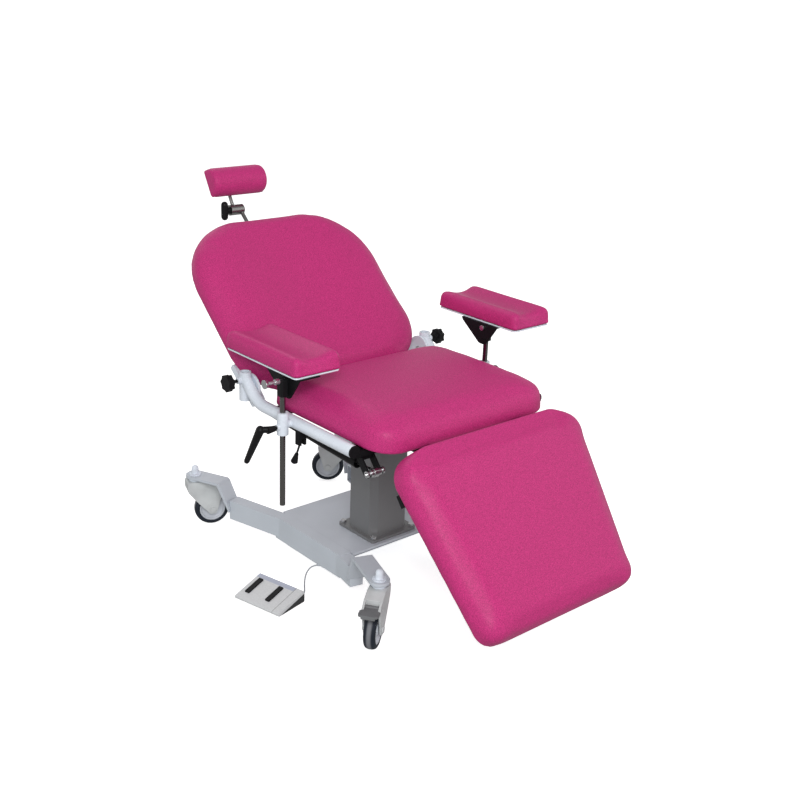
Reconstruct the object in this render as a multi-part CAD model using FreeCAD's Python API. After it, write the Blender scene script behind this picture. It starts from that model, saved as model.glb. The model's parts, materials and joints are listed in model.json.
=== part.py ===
"""Electric EEG chair on a four-castor base, with a foot switch on the floor beside it.

Millimetres, +Z up, -Y towards the feet, +X towards the patient's left hand.
The origin is on the floor, on the lift column's axis. The backrest and the leg rest are
drawn lying flat and then turned about their hinges to the stored pose.
"""
import FreeCAD
import Part
import math
import os

V = FreeCAD.Vector
X_AXIS = V(1, 0, 0)
Z_AXIS = V(0, 0, 1)

# Fits
running_gap = 0.05
free_gap = 0.3

# Pads: levels as shares of the height, each with its inset from the outline
pad_level_shares = (0.0, 0.1, 0.3, 0.58, 0.78, 0.9, 0.97, 1.0)
pad_insets = (9.0, 2.5, 0.0, 0.5, 5.5, 14.0, 27.0, 48.0)
least_pad_corner = 12.0

# Steps of a rounded end, in degrees up its quarter circle
dome_angles = (0.0, 32.0, 62.0)

# Base frame
deck_half_width = 150.0
deck_front = -84.0
deck_rear = 224.0
deck_top = 110.0
deck_thickness = 5.0
beam_width = 36.0
beam_height = 64.0
beam_top = 112.0
beam_wall = 4.0
beam_front = -75.0
beam_rear = 209.0
arm_height = 56.0
rear_arm_end = (214.0, 372.0)
front_arm_end = (184.0, -142.0)
strap_width = 52.0
strap_thickness = 8.0
strap_top = 158.0
strap_overhang = 26.0
strap_rise_run = 40.0
strap_foot_z = 74.0

# Castors
rear_stem = (266.0, 490.0)
front_stem = (236.0, -290.0)
castor_angle = {"rear_right": -20.0, "rear_left": 144.0, "front_right": 216.0, "front_left": -60.0}
wheel_radius = 50.0
wheel_width = 30.0
rim_radius = 37.0
rim_inset = 1.0
rim_lip = 5.0
rim_hollow = 5.0
hub_wall = 9.0
tyre_shoulder = 10.0
wheel_trail = 45.0
axle_radius = 4.0
axle_head_radius = 8.0
axle_head = 3.0
fork_half_width = 23.0
fork_cheek = 4.5
wheel_room = 3.5
fork_top = 139.7
fork_nose = 26.0
fork_outline = ((11.0, 80.0), (32.0, 67.0), (30.0, 52.0), (14.0, 2.0), (9.0, -13.0), (-9.0, -13.0),
                (-46.0, 30.0), (-71.0, 62.0))
fork_corners = (6.0, 8.0, 10.0, 4.0, 10.0, 6.0, 7.0, 7.0, 12.0, 20.0)
stem_radius = 6.0
stem_bottom = 112.0
stem_top = 168.0
collar_radius = 17.5
collar_proud = 3.0
dome_radius = 10.0
dome_height = 14.0
brake_pivot = (63.0, 115.0)
brake_length = 44.0
brake_half_width = 17.0
brake_notch_floor = 104.0
brake_notch_end = 100.0
brake_tread_half = 25.0
brake_shoulder = 20.0
brake_plate = 5.0
brake_hub_radius = 6.0
brake_pin_radius = 2.5

# Control box under the deck and the foot switch's lead
box_half_width = 178.0
box_front = 4.0
box_rear = 168.0
box_bottom = 40.0
box_flange = 6.0
box_body_half_width = 120.0
box_body_front = 76.0
gland_radius = 4.2
gland_lip = 1.5
gland_embed = 2.3
cord_hold = 4.0
cord_radius = 2.0
cord_points = [
    (-184.0, 22.0, 43.0), (-196.0, 27.0, 42.0), (-206.0, 31.0, 33.5), (-213.5, 32.5, 20.5),
    (-221.0, 27.0, 8.5), (-231.5, 14.0, 3.0), (-244.0, -4.0, 2.7), (-257.0, -21.0, 6.5),
    (-270.0, -33.5, 10.5), (-286.0, -39.0, 12.0),
]

# Foot switch
switch_centre = (-345.0, 9.0)
switch_turn = -76.4
switch_width = 149.0
switch_depth = 98.0
switch_low = 9.0
switch_high = 33.0
switch_skin = 2.5
key_width = 14.0
key_length = 58.0
key_places = (-54.0, 14.0)
key_proud = 3.5
key_travel = 3.0

# Lift column
column_size = (126.0, 114.0)
column_corner = 17.0
column_wall = 4.0
column_top = 420.0
flange_size = (152.0, 146.0)
flange_thickness = 8.0
flange_bolts = (131.0, 125.0)
bolt_radius = 5.0
bolt_head_radius = 8.0
bolt_head = 7.0
bolt_end = 4.0
wiper_height = 8.0
inner_column_gap = 2.5
inner_column_wall = 4.0
inner_column_bottom = 128.0
actuator_radius = 26.0
actuator_top = 395.0
lift_rod_radius = 15.0
lift_rod_bottom = 142.0

# Seat frame
seat_half_width = 286.0
seat_front = -343.0
seat_rear = 106.0
seat_top = 566.0
seat_bottom = 493.0
head_plate_size = (210.0, 170.0)
head_plate = 8.0
rail_x = 80.0
rail_width = 40.0
rail_height = 24.0
rail_front = -270.0
rail_rear = 96.0
cross_height = 16.0
spring_relief = 4.0
spring_relief_half = 17.0
cross_width = 40.0
front_cross_y = -246.0
rear_cross_y = 60.0
tube_radius = 15.0
tube_gap = 2.0
tube_x = seat_half_width + tube_gap + tube_radius
tube_z = 494.0
tube_wall = 2.5
tube_front = -263.0
tube_bend_y = 118.0
tube_bend_radius = 85.0
tube_rise = 50.0
cap_length = 4.0
cap_plug = 16.0

# Accessory sockets beside the backrest, and the backrest hinge that they carry
socket_y = 175.0
socket_bottom = 487.0
socket_top = 562.0
socket_bore_radius = 11.0
socket_knob_z = 541.0
socket_boss_radius = 8.0
socket_boss = 9.0
knob_screw_radius = 4.0
knob_radius = 22.0
knob_lobes = 7
knob_lobe_radius = 5.0
knob_thickness = 16.0
knob_neck = 9.0
knob_standoff = 10.0
back_hinge_z = 516.0
hinge_pin_radius = 8.0

# Backrest, lying flat
back_angle = 41.7
back_low = -34.0
back_high = 498.0
back_rise = 45.0
back_thickness = 66.0
back_corner = 195.0
back_foot_corner = 140.0
back_dish = 9.0
hinge_play = 0.6
hinge_plate_outer = tube_x - tube_radius - hinge_play
hinge_plate = 7.0
back_overhang = 9.6
back_half_width = hinge_plate_outer + back_overhang
hinge_disc_radius = 37.0
hinge_tail = 24.0
back_bar = 20.0
back_bar_width = 40.0
back_bar_places = (66.0, 300.0)
back_rail_x = 120.0
back_rail_width = 30.0
back_rail = 8.0

# Backrest gas spring, on the patient's right
spring_inset = 44.0
spring_x = tube_x - spring_inset
spring_radius = 14.0
spring_bore_radius = 12.6
spring_rod_radius = 4.0
spring_eye_radius = 11.0
spring_eye_width = 12.0
spring_neck = 36.0
spring_pin_radius = 5.0
back_spring_pin = (-20.0, -48.0)
back_spring_anchor = (-287.0, 441.0)
back_spring_exposed = 60.0
hanger_gap = 30.0
hanger_plate = 5.0
hanger_width = 24.0
spacer_radius = 9.0

# Leg rest, lying flat
leg_angle = 50.7
leg_hinge_y = -346.0
leg_hinge_z = 486.0
leg_start = -0.5
leg_length = 462.0
leg_overhang = 18.0
leg_foot_taper = 52.0
leg_top_half_width = seat_half_width + leg_overhang
leg_foot_half_width = leg_top_half_width - leg_foot_taper
leg_rise = 79.0
leg_thickness = 70.0
leg_top_corner = 62.0
leg_foot_corner = 48.0
leg_arm_inset = 136.0
leg_arm_x = seat_half_width - leg_arm_inset
leg_arm_width = 16.0
leg_arm_height = 20.0
leg_arm_length = 330.0
leg_cross_places = (90.0, 300.0)
leg_cross = 12.0
leg_cross_half = 15.0
leg_eye_radius = 11.0
leg_pin_radius = 6.0
lug_thickness = 8.0

# Leg rest gas spring, on the patient's left
leg_spring_lever = 42.0
leg_spring_lever_turn = -50.0
leg_spring_anchor = (30.0, 454.0)
leg_spring_exposed = 75.0
spring_rod_hidden = 110.0

# Release levers under the side tubes
release_y = -62.0
release_block = (20.0, 18.0, 40.0)
release_rod_radius = 2.5
release_drop = 38.0
release_lean = 16.0
release_knob_radius = 9.0
release_knob_length = 26.0
release_knob_crown = 4.0

# Armrests
post_offset = 34.0
post_x = tube_x + post_offset
post_y = -35.0
post_radius = 7.0
post_bottom = 290.0
post_top = 590.0
clamp_radius = 14.0
clamp_bottom = 470.0
clamp_top = 526.0
clamp_lever_z = 490.0
arm_pivot_z = 612.0
arm_head_size = (22.0, 22.0)
arm_head_bottom = 574.0
arm_head_top = 616.0
arm_plate = 4.0
arm_plate_width = 134.0
arm_plate_drop = 46.0
arm_flange = 3.0
arm_flange_width = 60.0
arm_pad_length = 302.0
arm_pad_width = 142.0
arm_pad_height = 50.0
arm_pad_dip = 12.0
arm_pad_shoulder = 18.0
arm_pad_brow = 12.0
arm_pad_round = (5.0, 3.2)
arm_pad_bottom = 624.0
arm_pad_ends = ((0.0, 9.0), (4.0, 3.5), (14.0, 0.0))
arm_pad_front = {"right": -86.0, "left": -150.0}
arm_pad_shift = {"right": 58.0, "left": 73.0}
arm_plate_shift = 16.0
arm_board = 4.0
arm_lift = {"right": -6.0, "left": 12.0}
arm_hole_radius = 1.6
arm_hole_ring = 33.0
arm_hole_count = 7
arm_hole_step = 13.0
arm_screw_radius = 4.0
arm_screw_length = 34.0
arm_knob_radius = 11.0
arm_knob = 8.0

# Head cushion, with its places given lying flat with the backrest
head_bar_radius = 5.5
head_bar_low = 325.0
head_guide_radius = 11.0
head_guide_reach = 46.0
knuckle_along = 583.0
knuckle_up = -59.0
knuckle_radius = 15.0
bar_cheek = 12.0
stem_cheek = 30.0
wing_span = 27.0
wing_radius = 10.0
wing_neck = 16.0
head_stem_turn = 18.3
head_stem_length = 100.0
head_stem_radius = 5.0
head_half_width = 89.0
head_half_height = 42.0
head_depth = 50.0
head_place = 80.0
head_section_shares = ((-1.0, 0.84), (-0.96, 0.96), (-0.86, 1.0), (0.86, 1.0), (0.96, 0.96), (1.0, 0.84))
head_plate_thickness = 4.0
head_plate_half = (58.0, 28.0)


def point(side, x, y, z):
    """A point given for the left half, carried to the named side."""
    return V(x if side == "left" else -x, y, z)


def box(x_pair, y_pair, z_pair):
    low = V(min(x_pair), min(y_pair), min(z_pair))
    size = [abs(pair[1] - pair[0]) for pair in (x_pair, y_pair, z_pair)]
    return Part.makeBox(*size, low)


def rod(start, end, radius):
    line = end - start
    return Part.makeCylinder(radius, line.Length, start, line)


def cone(start, end, first_radius, last_radius):
    line = end - start
    return Part.makeCone(first_radius, last_radius, line.Length, start, line)


def spun(profile, start, line):
    """A solid spun from a closed half section of (radius, height) points, set on a line."""
    corners = [V(radius, 0, height) for radius, height in profile]
    solid = Part.Face(Part.makePolygon(corners + corners[:1])).revolve(V(0, 0, 0), Z_AXIS, 360)
    solid.Placement = FreeCAD.Placement(start, FreeCAD.Rotation(Z_AXIS, line))
    return solid


def quarter_round(radius):
    """Points of a rounded end, from its rim up to its tip."""
    points = [(radius * math.cos(math.radians(a)), radius * math.sin(math.radians(a))) for a in dome_angles]
    return points + [(0.0, radius)]


def dome(start, line, radius):
    return spun([(0.0, 0.0)] + quarter_round(radius), start, line)


def ring(start, end, outer_radius, inner_radius):
    return rod(start, end, outer_radius).cut(rod(start, end, inner_radius))


def rounded_wire(points, radii, closed):
    """Straight runs joined by tangent arcs, one radius for each corner."""
    count = len(points)
    edges = []
    ends = []
    for i, corner in enumerate(points):
        if not closed and i in (0, count - 1):
            ends.append((corner, corner))
            continue
        back = (points[i - 1] - corner).normalize()
        ahead = (points[(i + 1) % count] - corner).normalize()
        half_turn = (math.pi - back.getAngle(ahead)) / 2
        reach = radii[i] * math.tan(half_turn)
        middle = (back + ahead).normalize()
        to_arc = radii[i] / math.cos(half_turn) - radii[i]
        ends.append((corner + back * reach, corner + ahead * reach))
        edges.append((i, Part.Arc(ends[-1][0], corner + middle * to_arc, ends[-1][1]).toShape()))
    arcs = dict(edges)
    ordered = []
    for i in range(count):
        if i in arcs:
            ordered.append(arcs[i])
        if closed or i < count - 1:
            start = ends[i][1]
            end = ends[(i + 1) % count][0]
            if (end - start).Length > 1e-6:
                ordered.append(Part.makeLine(start, end))
    return Part.Wire(ordered)


def plate(points, radii, thickness):
    """A flat plate with rounded corners, thickened along a vector."""
    return Part.Face(rounded_wire(points, radii, True)).extrude(thickness)


def yz_plate(points, radii, x_low, x_high):
    return plate([V(x_low, y, z) for y, z in points], radii, V(x_high - x_low, 0, 0))


def pipe(points, bend_radius, radius):
    """A round bar along straight runs and equal bends."""
    path = rounded_wire(points, [bend_radius] * len(points), False)
    start = Part.Circle(points[0], points[1] - points[0], radius).toShape()
    return path.makePipeShell([Part.Wire(start)], True, False)


def chamfered_box(size, corner, z_low, z_high):
    half_x = size[0] / 2
    half_y = size[1] / 2
    outline = [
        V(half_x - corner, -half_y, z_low), V(half_x, -half_y + corner, z_low),
        V(half_x, half_y - corner, z_low), V(half_x - corner, half_y, z_low),
        V(-half_x + corner, half_y, z_low), V(-half_x, half_y - corner, z_low),
        V(-half_x, -half_y + corner, z_low), V(-half_x + corner, -half_y, z_low),
    ]
    face = Part.Face(Part.makePolygon(outline + outline[:1]))
    return face.extrude(V(0, 0, z_high - z_low))


def cushion(front, rear, front_half, rear_half, front_corner, rear_corner, bottom, top):
    """A padded block: narrow under edge, full sides and a softly crowned top."""
    height = top - bottom
    wires = []
    for share, inset in zip(pad_level_shares, pad_insets):
        z = bottom + height * share
        corners = [
            V(-front_half + inset, front + inset, z), V(front_half - inset, front + inset, z),
            V(rear_half - inset, rear - inset, z), V(-rear_half + inset, rear - inset, z),
        ]
        radii = [max(corner - inset, least_pad_corner) for corner in (front_corner, rear_corner)]
        wires.append(rounded_wire(corners, [radii[0], radii[0], radii[1], radii[1]], True))
    return Part.makeLoft(wires, True, True)


def dished(pad, front, rear, top, depth, half_span):
    """Press a shallow lengthwise hollow into a pad's top."""
    radius = (half_span ** 2 + depth ** 2) / (2 * depth)
    axis_height = top + radius - depth
    return pad.cut(rod(V(0, front, axis_height), V(0, rear, axis_height), radius))


def turned(shape, centre, angle):
    copy = shape.copy()
    copy.rotate(centre, X_AXIS, angle)
    return copy


def mirrored(shape):
    return shape.mirror(V(0, 0, 0), X_AXIS)


def both_sides(shape):
    return [shape, mirrored(shape)]


back_hinge = V(0, socket_y, back_hinge_z)
leg_hinge = V(0, leg_hinge_y, leg_hinge_z)


def back_point(x, along, up):
    """A backrest place, measured lying flat from the hinge, in the stored pose."""
    flat = V(x, socket_y + along, back_hinge_z + up)
    turn = FreeCAD.Rotation(X_AXIS, back_angle)
    return back_hinge + turn.multVec(flat - back_hinge)


def leg_lever_point(x):
    """The pin of the leg rest's lever, in the stored pose."""
    angle = math.radians(leg_spring_lever_turn)
    y = leg_hinge_y + leg_spring_lever * math.cos(angle)
    z = leg_hinge_z + leg_spring_lever * math.sin(angle)
    return V(x, y, z)


# Base frame: deck, folded side beams and splayed arms, welded together
def channel(length, height, top):
    """A folded beam along +Y, open towards the middle of the chair."""
    outer = box((0, beam_width), (0, length), (top - height, top))
    hollow = box((-1, beam_width - beam_wall), (beam_wall, length - beam_wall),
                 (top - height + beam_wall, top - beam_wall))
    return outer.cut(hollow)


def splayed_arm(start, end, top):
    """A beam on the left side that runs from one floor-plan point to another."""
    run = V(end[0] - start[0], end[1] - start[1], 0)
    arm = channel(run.Length, arm_height, top)
    arm.translate(V(-beam_width / 2, 0, 0))
    if run.y < 0:
        arm = mirrored(arm)
    arm.rotate(V(0, 0, 0), Z_AXIS, math.degrees(math.atan2(run.y, run.x)) - 90)
    arm.translate(V(start[0], start[1], 0))
    return arm


def make_base_frame():
    beam_middle = deck_half_width + beam_width / 2
    beam = channel(beam_rear - beam_front, beam_height, beam_top)
    beam.translate(V(deck_half_width, beam_front, 0))
    rear_arm = splayed_arm((beam_middle, beam_rear - 14), rear_arm_end, beam_top - 1)
    front_arm = splayed_arm((beam_middle, beam_front + 14), front_arm_end, beam_top - 1)
    half = beam.fuse([rear_arm, front_arm])
    deck = box((-deck_half_width, deck_half_width), (deck_front, deck_rear),
               (deck_top - deck_thickness, deck_top))
    for x in (-1, 1):
        for y in (-1, 1):
            place = V(x * flange_bolts[0] / 2, y * flange_bolts[1] / 2, 0)
            deck = deck.cut(rod(place, place + V(0, 0, beam_top), bolt_radius + running_gap))
    return [deck.fuse([half, mirrored(half)]).removeSplitter()]


def strap(arm_end, stem):
    """A flat bar that climbs steeply from an arm's end and then runs level over the castor."""
    run = V(stem[0] - arm_end[0], stem[1] - arm_end[1], 0)
    reach = run.Length + strap_overhang
    low = strap_top - strap_thickness
    outline = [
        V(0, 0, strap_foot_z), V(0, 0, strap_foot_z + 2 * strap_thickness),
        V(0, strap_rise_run - strap_thickness, strap_top), V(0, reach, strap_top),
        V(0, reach, low), V(0, strap_rise_run, low),
    ]
    radii = [1.0, 1.0, 10.0, 2.0, 2.0, 4.0]
    bar = plate(outline, radii, V(strap_width, 0, 0))
    bar.translate(V(-strap_width / 2, 0, 0))
    nose = rod(V(0, run.Length, 0), V(0, run.Length, strap_top), strap_overhang)
    tail = box((-strap_width, strap_width), (-1, run.Length), (0, strap_top + 1))
    bar = bar.common(nose.fuse(tail))
    bar = bar.cut(rod(V(0, run.Length, 0), V(0, run.Length, strap_top + 1), collar_radius + running_gap))
    bar.rotate(V(0, 0, 0), Z_AXIS, math.degrees(math.atan2(run.y, run.x)) - 90)
    bar.translate(V(arm_end[0], arm_end[1], 0))
    return bar


def stem_place(name):
    stem = rear_stem if name.startswith("rear") else front_stem
    return point("left" if name.endswith("left") else "right", stem[0], stem[1], 0)


def make_castor_straps():
    frame = make_base_frame()[0]
    bars = [strap(rear_arm_end, rear_stem).cut(frame), strap(front_arm_end, front_stem).cut(frame)]
    return both_sides(bars[0]) + both_sides(bars[1])


def make_castor_stems():
    rods = []
    for name in castor_angle:
        place = stem_place(name)
        rods.append(rod(place + V(0, 0, stem_bottom), place + V(0, 0, stem_top), stem_radius))
    return rods


def make_castor_caps():
    """A collar in each strap's end and a domed nut cover on top of it."""
    pieces = []
    for name in castor_angle:
        place = stem_place(name)
        low = place + V(0, 0, fork_top + free_gap)
        over = place + V(0, 0, strap_top + collar_proud)
        pieces.append(ring(low, over, collar_radius, stem_radius + running_gap))
        shoulder = over + V(0, 0, dome_height)
        cover = rod(over, shoulder, dome_radius).fuse(dome(shoulder, Z_AXIS, dome_radius))
        room = rod(over, place + V(0, 0, stem_top + free_gap), stem_radius + running_gap)
        pieces.append(cover.removeSplitter().cut(room))
    return pieces


# Castors, drawn with the wheel trailing along +X and then turned about the stem
def castor_placed(shape, name):
    copy = shape.copy()
    copy.rotate(V(0, 0, 0), Z_AXIS, castor_angle[name])
    copy.translate(stem_place(name))
    return copy


def make_fork(name):
    axle = V(wheel_trail, 0, wheel_radius)
    side = V(0, -fork_half_width, 0)
    outline = [V(-fork_nose, 0, fork_top) + side, V(fork_nose, 0, fork_top) + side]
    outline += [axle + side + V(along, 0, up) for along, up in fork_outline]
    body = plate(outline, fork_corners, V(0, 2 * fork_half_width, 0))
    slot = fork_half_width - fork_cheek
    body = body.cut(rod(axle - V(0, slot, 0), axle + V(0, slot, 0), wheel_radius + wheel_room))
    body = body.cut(box((wheel_trail - 90, wheel_trail + 90), (-slot, slot), (0, wheel_radius)))
    body = body.cut(rod(V(0, 0, stem_bottom - free_gap), V(0, 0, fork_top + 1), stem_radius + running_gap))
    across = V(0, fork_half_width + axle_head, 0)
    body = body.cut(rod(axle - across, axle + across, axle_radius + running_gap))
    if name.startswith("front"):
        pivot = V(brake_pivot[0], 0, brake_pivot[1])
        room = brake_half_width + free_gap
        notch = box((brake_pivot[0] - brake_hub_radius - 2, brake_notch_end), (-room, room),
                    (brake_notch_floor, fork_top + 1))
        body = body.cut(notch)
        body = body.cut(rod(pivot - across, pivot + across, brake_pin_radius + running_gap))
    shaft = rod(axle - across, axle + across, axle_radius)
    for end in (-1, 1):
        face = axle + V(0, end * fork_half_width, 0)
        shaft = shaft.fuse(rod(face, face + V(0, end * axle_head, 0), axle_head_radius))
    return [castor_placed(body, name), castor_placed(shaft.removeSplitter(), name)]


def make_wheel(name):
    """A tyre with rounded shoulders on a rim whose faces are hollowed round the hub."""
    half = wheel_width / 2
    arc = quarter_round(tyre_shoulder)[:-1]
    crown = [(wheel_radius - tyre_shoulder + r, half - tyre_shoulder + h) for r, h in arc]
    crown.append((wheel_radius - tyre_shoulder, half))
    inner = rim_radius + running_gap
    lower = [(r, -h) for r, h in reversed(crown)]
    tyre = [(inner, half)] + crown[::-1] + lower[::-1] + [(inner, -half)]
    bore = axle_radius + running_gap
    face = half - rim_inset
    web = face - rim_hollow
    hub = axle_radius + hub_wall
    lip = rim_radius - rim_lip
    front = [(bore, face), (hub, face), (hub, web), (lip, web), (lip, face), (rim_radius, face)]
    disc = front + [(r, -h) for r, h in reversed(front)]
    axle = V(wheel_trail, 0, wheel_radius)
    return [castor_placed(spun(profile, axle, V(0, 1, 0)), name) for profile in (disc, tyre)]


def make_brake(name):
    pivot = V(brake_pivot[0], 0, brake_pivot[1])
    across = V(0, brake_half_width, 0)
    hub = rod(pivot - across, pivot + across, brake_hub_radius)
    tip = brake_pivot[0] + brake_length
    low = brake_pivot[1] - brake_plate / 2
    root = brake_pivot[0]
    wide = root + brake_shoulder
    outline = [
        V(root, -brake_half_width, low), V(wide - 4, -brake_half_width, low), V(wide, -brake_tread_half, low),
        V(tip, -brake_tread_half, low), V(tip, brake_tread_half, low), V(wide, brake_tread_half, low),
        V(wide - 4, brake_half_width, low), V(root, brake_half_width, low),
    ]
    tread = plate(outline, [1.0, 1.0, 2.0, 8.0, 8.0, 2.0, 1.0, 1.0], V(0, 0, brake_plate))
    lip = box((tip - brake_plate, tip), (-brake_half_width, brake_half_width), (low - 5, low + 1))
    reach = V(0, fork_half_width - 1, 0)
    pin = rod(pivot - reach, pivot + reach, brake_pin_radius)
    return [castor_placed(hub.fuse([tread, lip, pin]).removeSplitter(), name)]


# Control box under the deck, with the gland of the foot switch's lead
def make_control_box():
    cover = box((-box_half_width, box_half_width), (box_front, box_rear),
                (box_bottom, box_bottom + box_flange))
    body = box((-box_body_half_width, box_body_half_width), (box_body_front, box_rear - 10),
               (box_bottom + box_flange, deck_top - deck_thickness))
    end = V(*cord_points[0])
    line = cord_start_line()
    gland_length = (abs(end.x) - box_half_width + gland_embed) / abs(line.x)
    gland = cone(end - line * gland_length, end, gland_radius, cord_radius + gland_lip)
    hole = rod(end - line * cord_hold, end, cord_radius + running_gap)
    return [cover.fuse([body, gland]).removeSplitter().cut(hole)]


def cord_start_line():
    return (V(*cord_points[1]) - V(*cord_points[0])).normalize()


def make_pedal_cord():
    points = [V(*p) for p in cord_points]
    points[0] = points[0] - cord_start_line() * cord_hold
    radii = [0.0] * len(points)
    for i in range(1, len(points) - 1):
        back = points[i - 1] - points[i]
        ahead = points[i + 1] - points[i]
        half_turn = (math.pi - back.getAngle(ahead)) / 2
        radii[i] = 0.45 * min(back.Length, ahead.Length) / math.tan(half_turn)
    path = rounded_wire(points, radii, False)
    start = Part.Circle(points[0], points[1] - points[0], cord_radius).toShape()
    cord = path.makePipeShell([Part.Wire(start)], True, False)
    print("cord length %.1f, radii %s, volume ratio %.4f" % (
        path.Length, [round(r) for r in radii[1:-1]],
        cord.Volume / (math.pi * cord_radius ** 2 * path.Length)))
    return [cord]


# Foot switch: a wedge, drawn with its low edge along X at the front and then turned
def switch_placed(shape):
    copy = shape.copy()
    copy.rotate(V(0, 0, 0), Z_AXIS, switch_turn)
    copy.translate(V(switch_centre[0], switch_centre[1], 0))
    return copy


def switch_wedge(inset, drop, bottom):
    half = switch_depth / 2 - inset
    outline = [
        V(0, -half, bottom), V(0, half, bottom),
        V(0, half, switch_high - drop), V(0, -half, switch_low - drop),
    ]
    wedge = plate(outline, [0.8, 0.8, 3.0, 2.0], V(switch_width - 2 * inset, 0, 0))
    wedge.translate(V(-switch_width / 2 + inset, 0, 0))
    return wedge


def switch_slope():
    return math.degrees(math.atan2(switch_high - switch_low, switch_depth))


def key_block(place, grow, z_low, z_high):
    """A key's block, square to the sloping top, about the middle of the top face."""
    half = key_width / 2 + grow
    length = key_length / 2 + grow
    block = plate([V(-half, -length, z_low), V(half, -length, z_low),
                   V(half, length, z_low), V(-half, length, z_low)],
                  [2.0] * 4, V(0, 0, z_high - z_low))
    block.rotate(V(0, 0, 0), X_AXIS, switch_slope())
    block.translate(V(place, 2, (switch_low + switch_high) / 2))
    return block


def make_pedal_shell():
    shell = switch_wedge(0.0, 0.0, 2.0).cut(switch_wedge(switch_skin, switch_skin, -5.0))
    for place in key_places:
        shell = shell.cut(key_block(place, free_gap, -30.0, 30.0))
    entry = switch_inverse(V(*cord_points[-1]))
    shell = shell.cut(rod(entry, entry + V(0, 40, 0), cord_radius + 1.0))
    return [switch_placed(shell)]


def switch_inverse(place):
    """A floor place, seen in the foot switch's own drawing."""
    turn = FreeCAD.Rotation(Z_AXIS, -switch_turn)
    return turn.multVec(place - V(switch_centre[0], switch_centre[1], 0))


def make_pedal_base():
    base = switch_wedge(switch_skin + free_gap, switch_skin + free_gap, 0.0)
    for place in key_places:
        base = base.cut(key_block(place, free_gap, -key_travel - 5.5, 30.0))
    entry = switch_inverse(V(*cord_points[-1]))
    base = base.cut(rod(entry - V(0, 1.5, 0), entry + V(0, 40, 0), cord_radius + 2 * free_gap))
    return [switch_placed(base)]


def make_pedal_key(place):
    return [switch_placed(key_block(place, 0.0, -5.0, key_proud))]


# Lift column
def inner_size(gap, size):
    return (size[0] - 2 * gap, size[1] - 2 * gap)


def make_column_outer():
    bottom = deck_top + flange_thickness
    tube = chamfered_box(column_size, column_corner, bottom, column_top)
    hollow = chamfered_box(inner_size(column_wall, column_size), column_corner - 2, bottom, column_top)
    half_x = flange_size[0] / 2
    half_y = flange_size[1] / 2
    flange = plate([V(-half_x, -half_y, deck_top), V(half_x, -half_y, deck_top),
                    V(half_x, half_y, deck_top), V(-half_x, half_y, deck_top)],
                   [8.0] * 4, V(0, 0, flange_thickness))
    column = tube.cut(hollow).fuse(flange).removeSplitter()
    for place in bolt_places():
        column = column.cut(rod(place, place + V(0, 0, 60), bolt_radius + running_gap))
        over = place + V(0, 0, flange_thickness)
        column = column.cut(rod(over, over + V(0, 0, bolt_head), bolt_head_radius + free_gap))
    return [column]


def bolt_places():
    half_x = flange_bolts[0] / 2
    half_y = flange_bolts[1] / 2
    return [V(x, y, deck_top) for x in (-half_x, half_x) for y in (-half_y, half_y)]


def make_column_bolts():
    """Hexagon bolts through the flange and deck, with a nut underneath."""
    bolts = []
    for place in bolt_places():
        top = place + V(0, 0, flange_thickness)
        low = place - V(0, 0, deck_thickness)
        end = low - V(0, 0, bolt_head + bolt_end)
        shank = rod(end, top, bolt_radius)
        bolts.append(shank.fuse([hexagon(top, bolt_head), hexagon(low, -bolt_head)]).removeSplitter())
    return bolts


def hexagon(centre, height):
    """A bolt's head or nut, standing up or hanging down from a face."""
    corners = []
    for i in range(7):
        angle = math.radians(60 * i)
        corners.append(centre + V(math.cos(angle), math.sin(angle), 0) * bolt_head_radius)
    return Part.Face(Part.makePolygon(corners)).extrude(V(0, 0, height))


def make_column_wiper():
    top = column_top + wiper_height
    rim = chamfered_box((column_size[0] + 2, column_size[1] + 2), column_corner, column_top, top)
    gap = column_wall + inner_column_gap - free_gap
    return [rim.cut(chamfered_box(inner_size(gap, column_size), column_corner - 3, column_top, top))]


def head_plate_bottom():
    return seat_bottom - cross_height - rail_height - head_plate


def make_column_inner():
    gap = column_wall + inner_column_gap
    outer = inner_size(gap, column_size)
    top = head_plate_bottom()
    tube = chamfered_box(outer, column_corner - 3, inner_column_bottom, top)
    hollow = inner_size(inner_column_wall, outer)
    return [tube.cut(chamfered_box(hollow, column_corner - 5, inner_column_bottom, top))]


def make_lift_actuator():
    foot = deck_top + flange_thickness
    body = rod(V(0, 0, foot), V(0, 0, actuator_top), actuator_radius)
    bore = rod(V(0, 0, lift_rod_bottom - free_gap), V(0, 0, actuator_top), lift_rod_radius + running_gap)
    return [body.cut(bore)]


def make_lift_rod():
    return [rod(V(0, 0, lift_rod_bottom), V(0, 0, head_plate_bottom()), lift_rod_radius)]


# Seat frame: head plate, rails, cross members and the lugs of the leg rest's hinge
def side_tube_solid(side):
    """The outside of one side tube, from its front end to the socket."""
    points = [
        point(side, tube_x, tube_front, tube_z), point(side, tube_x, tube_bend_y, tube_z),
        point(side, tube_x, socket_y, tube_z + tube_rise),
    ]
    return points


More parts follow.
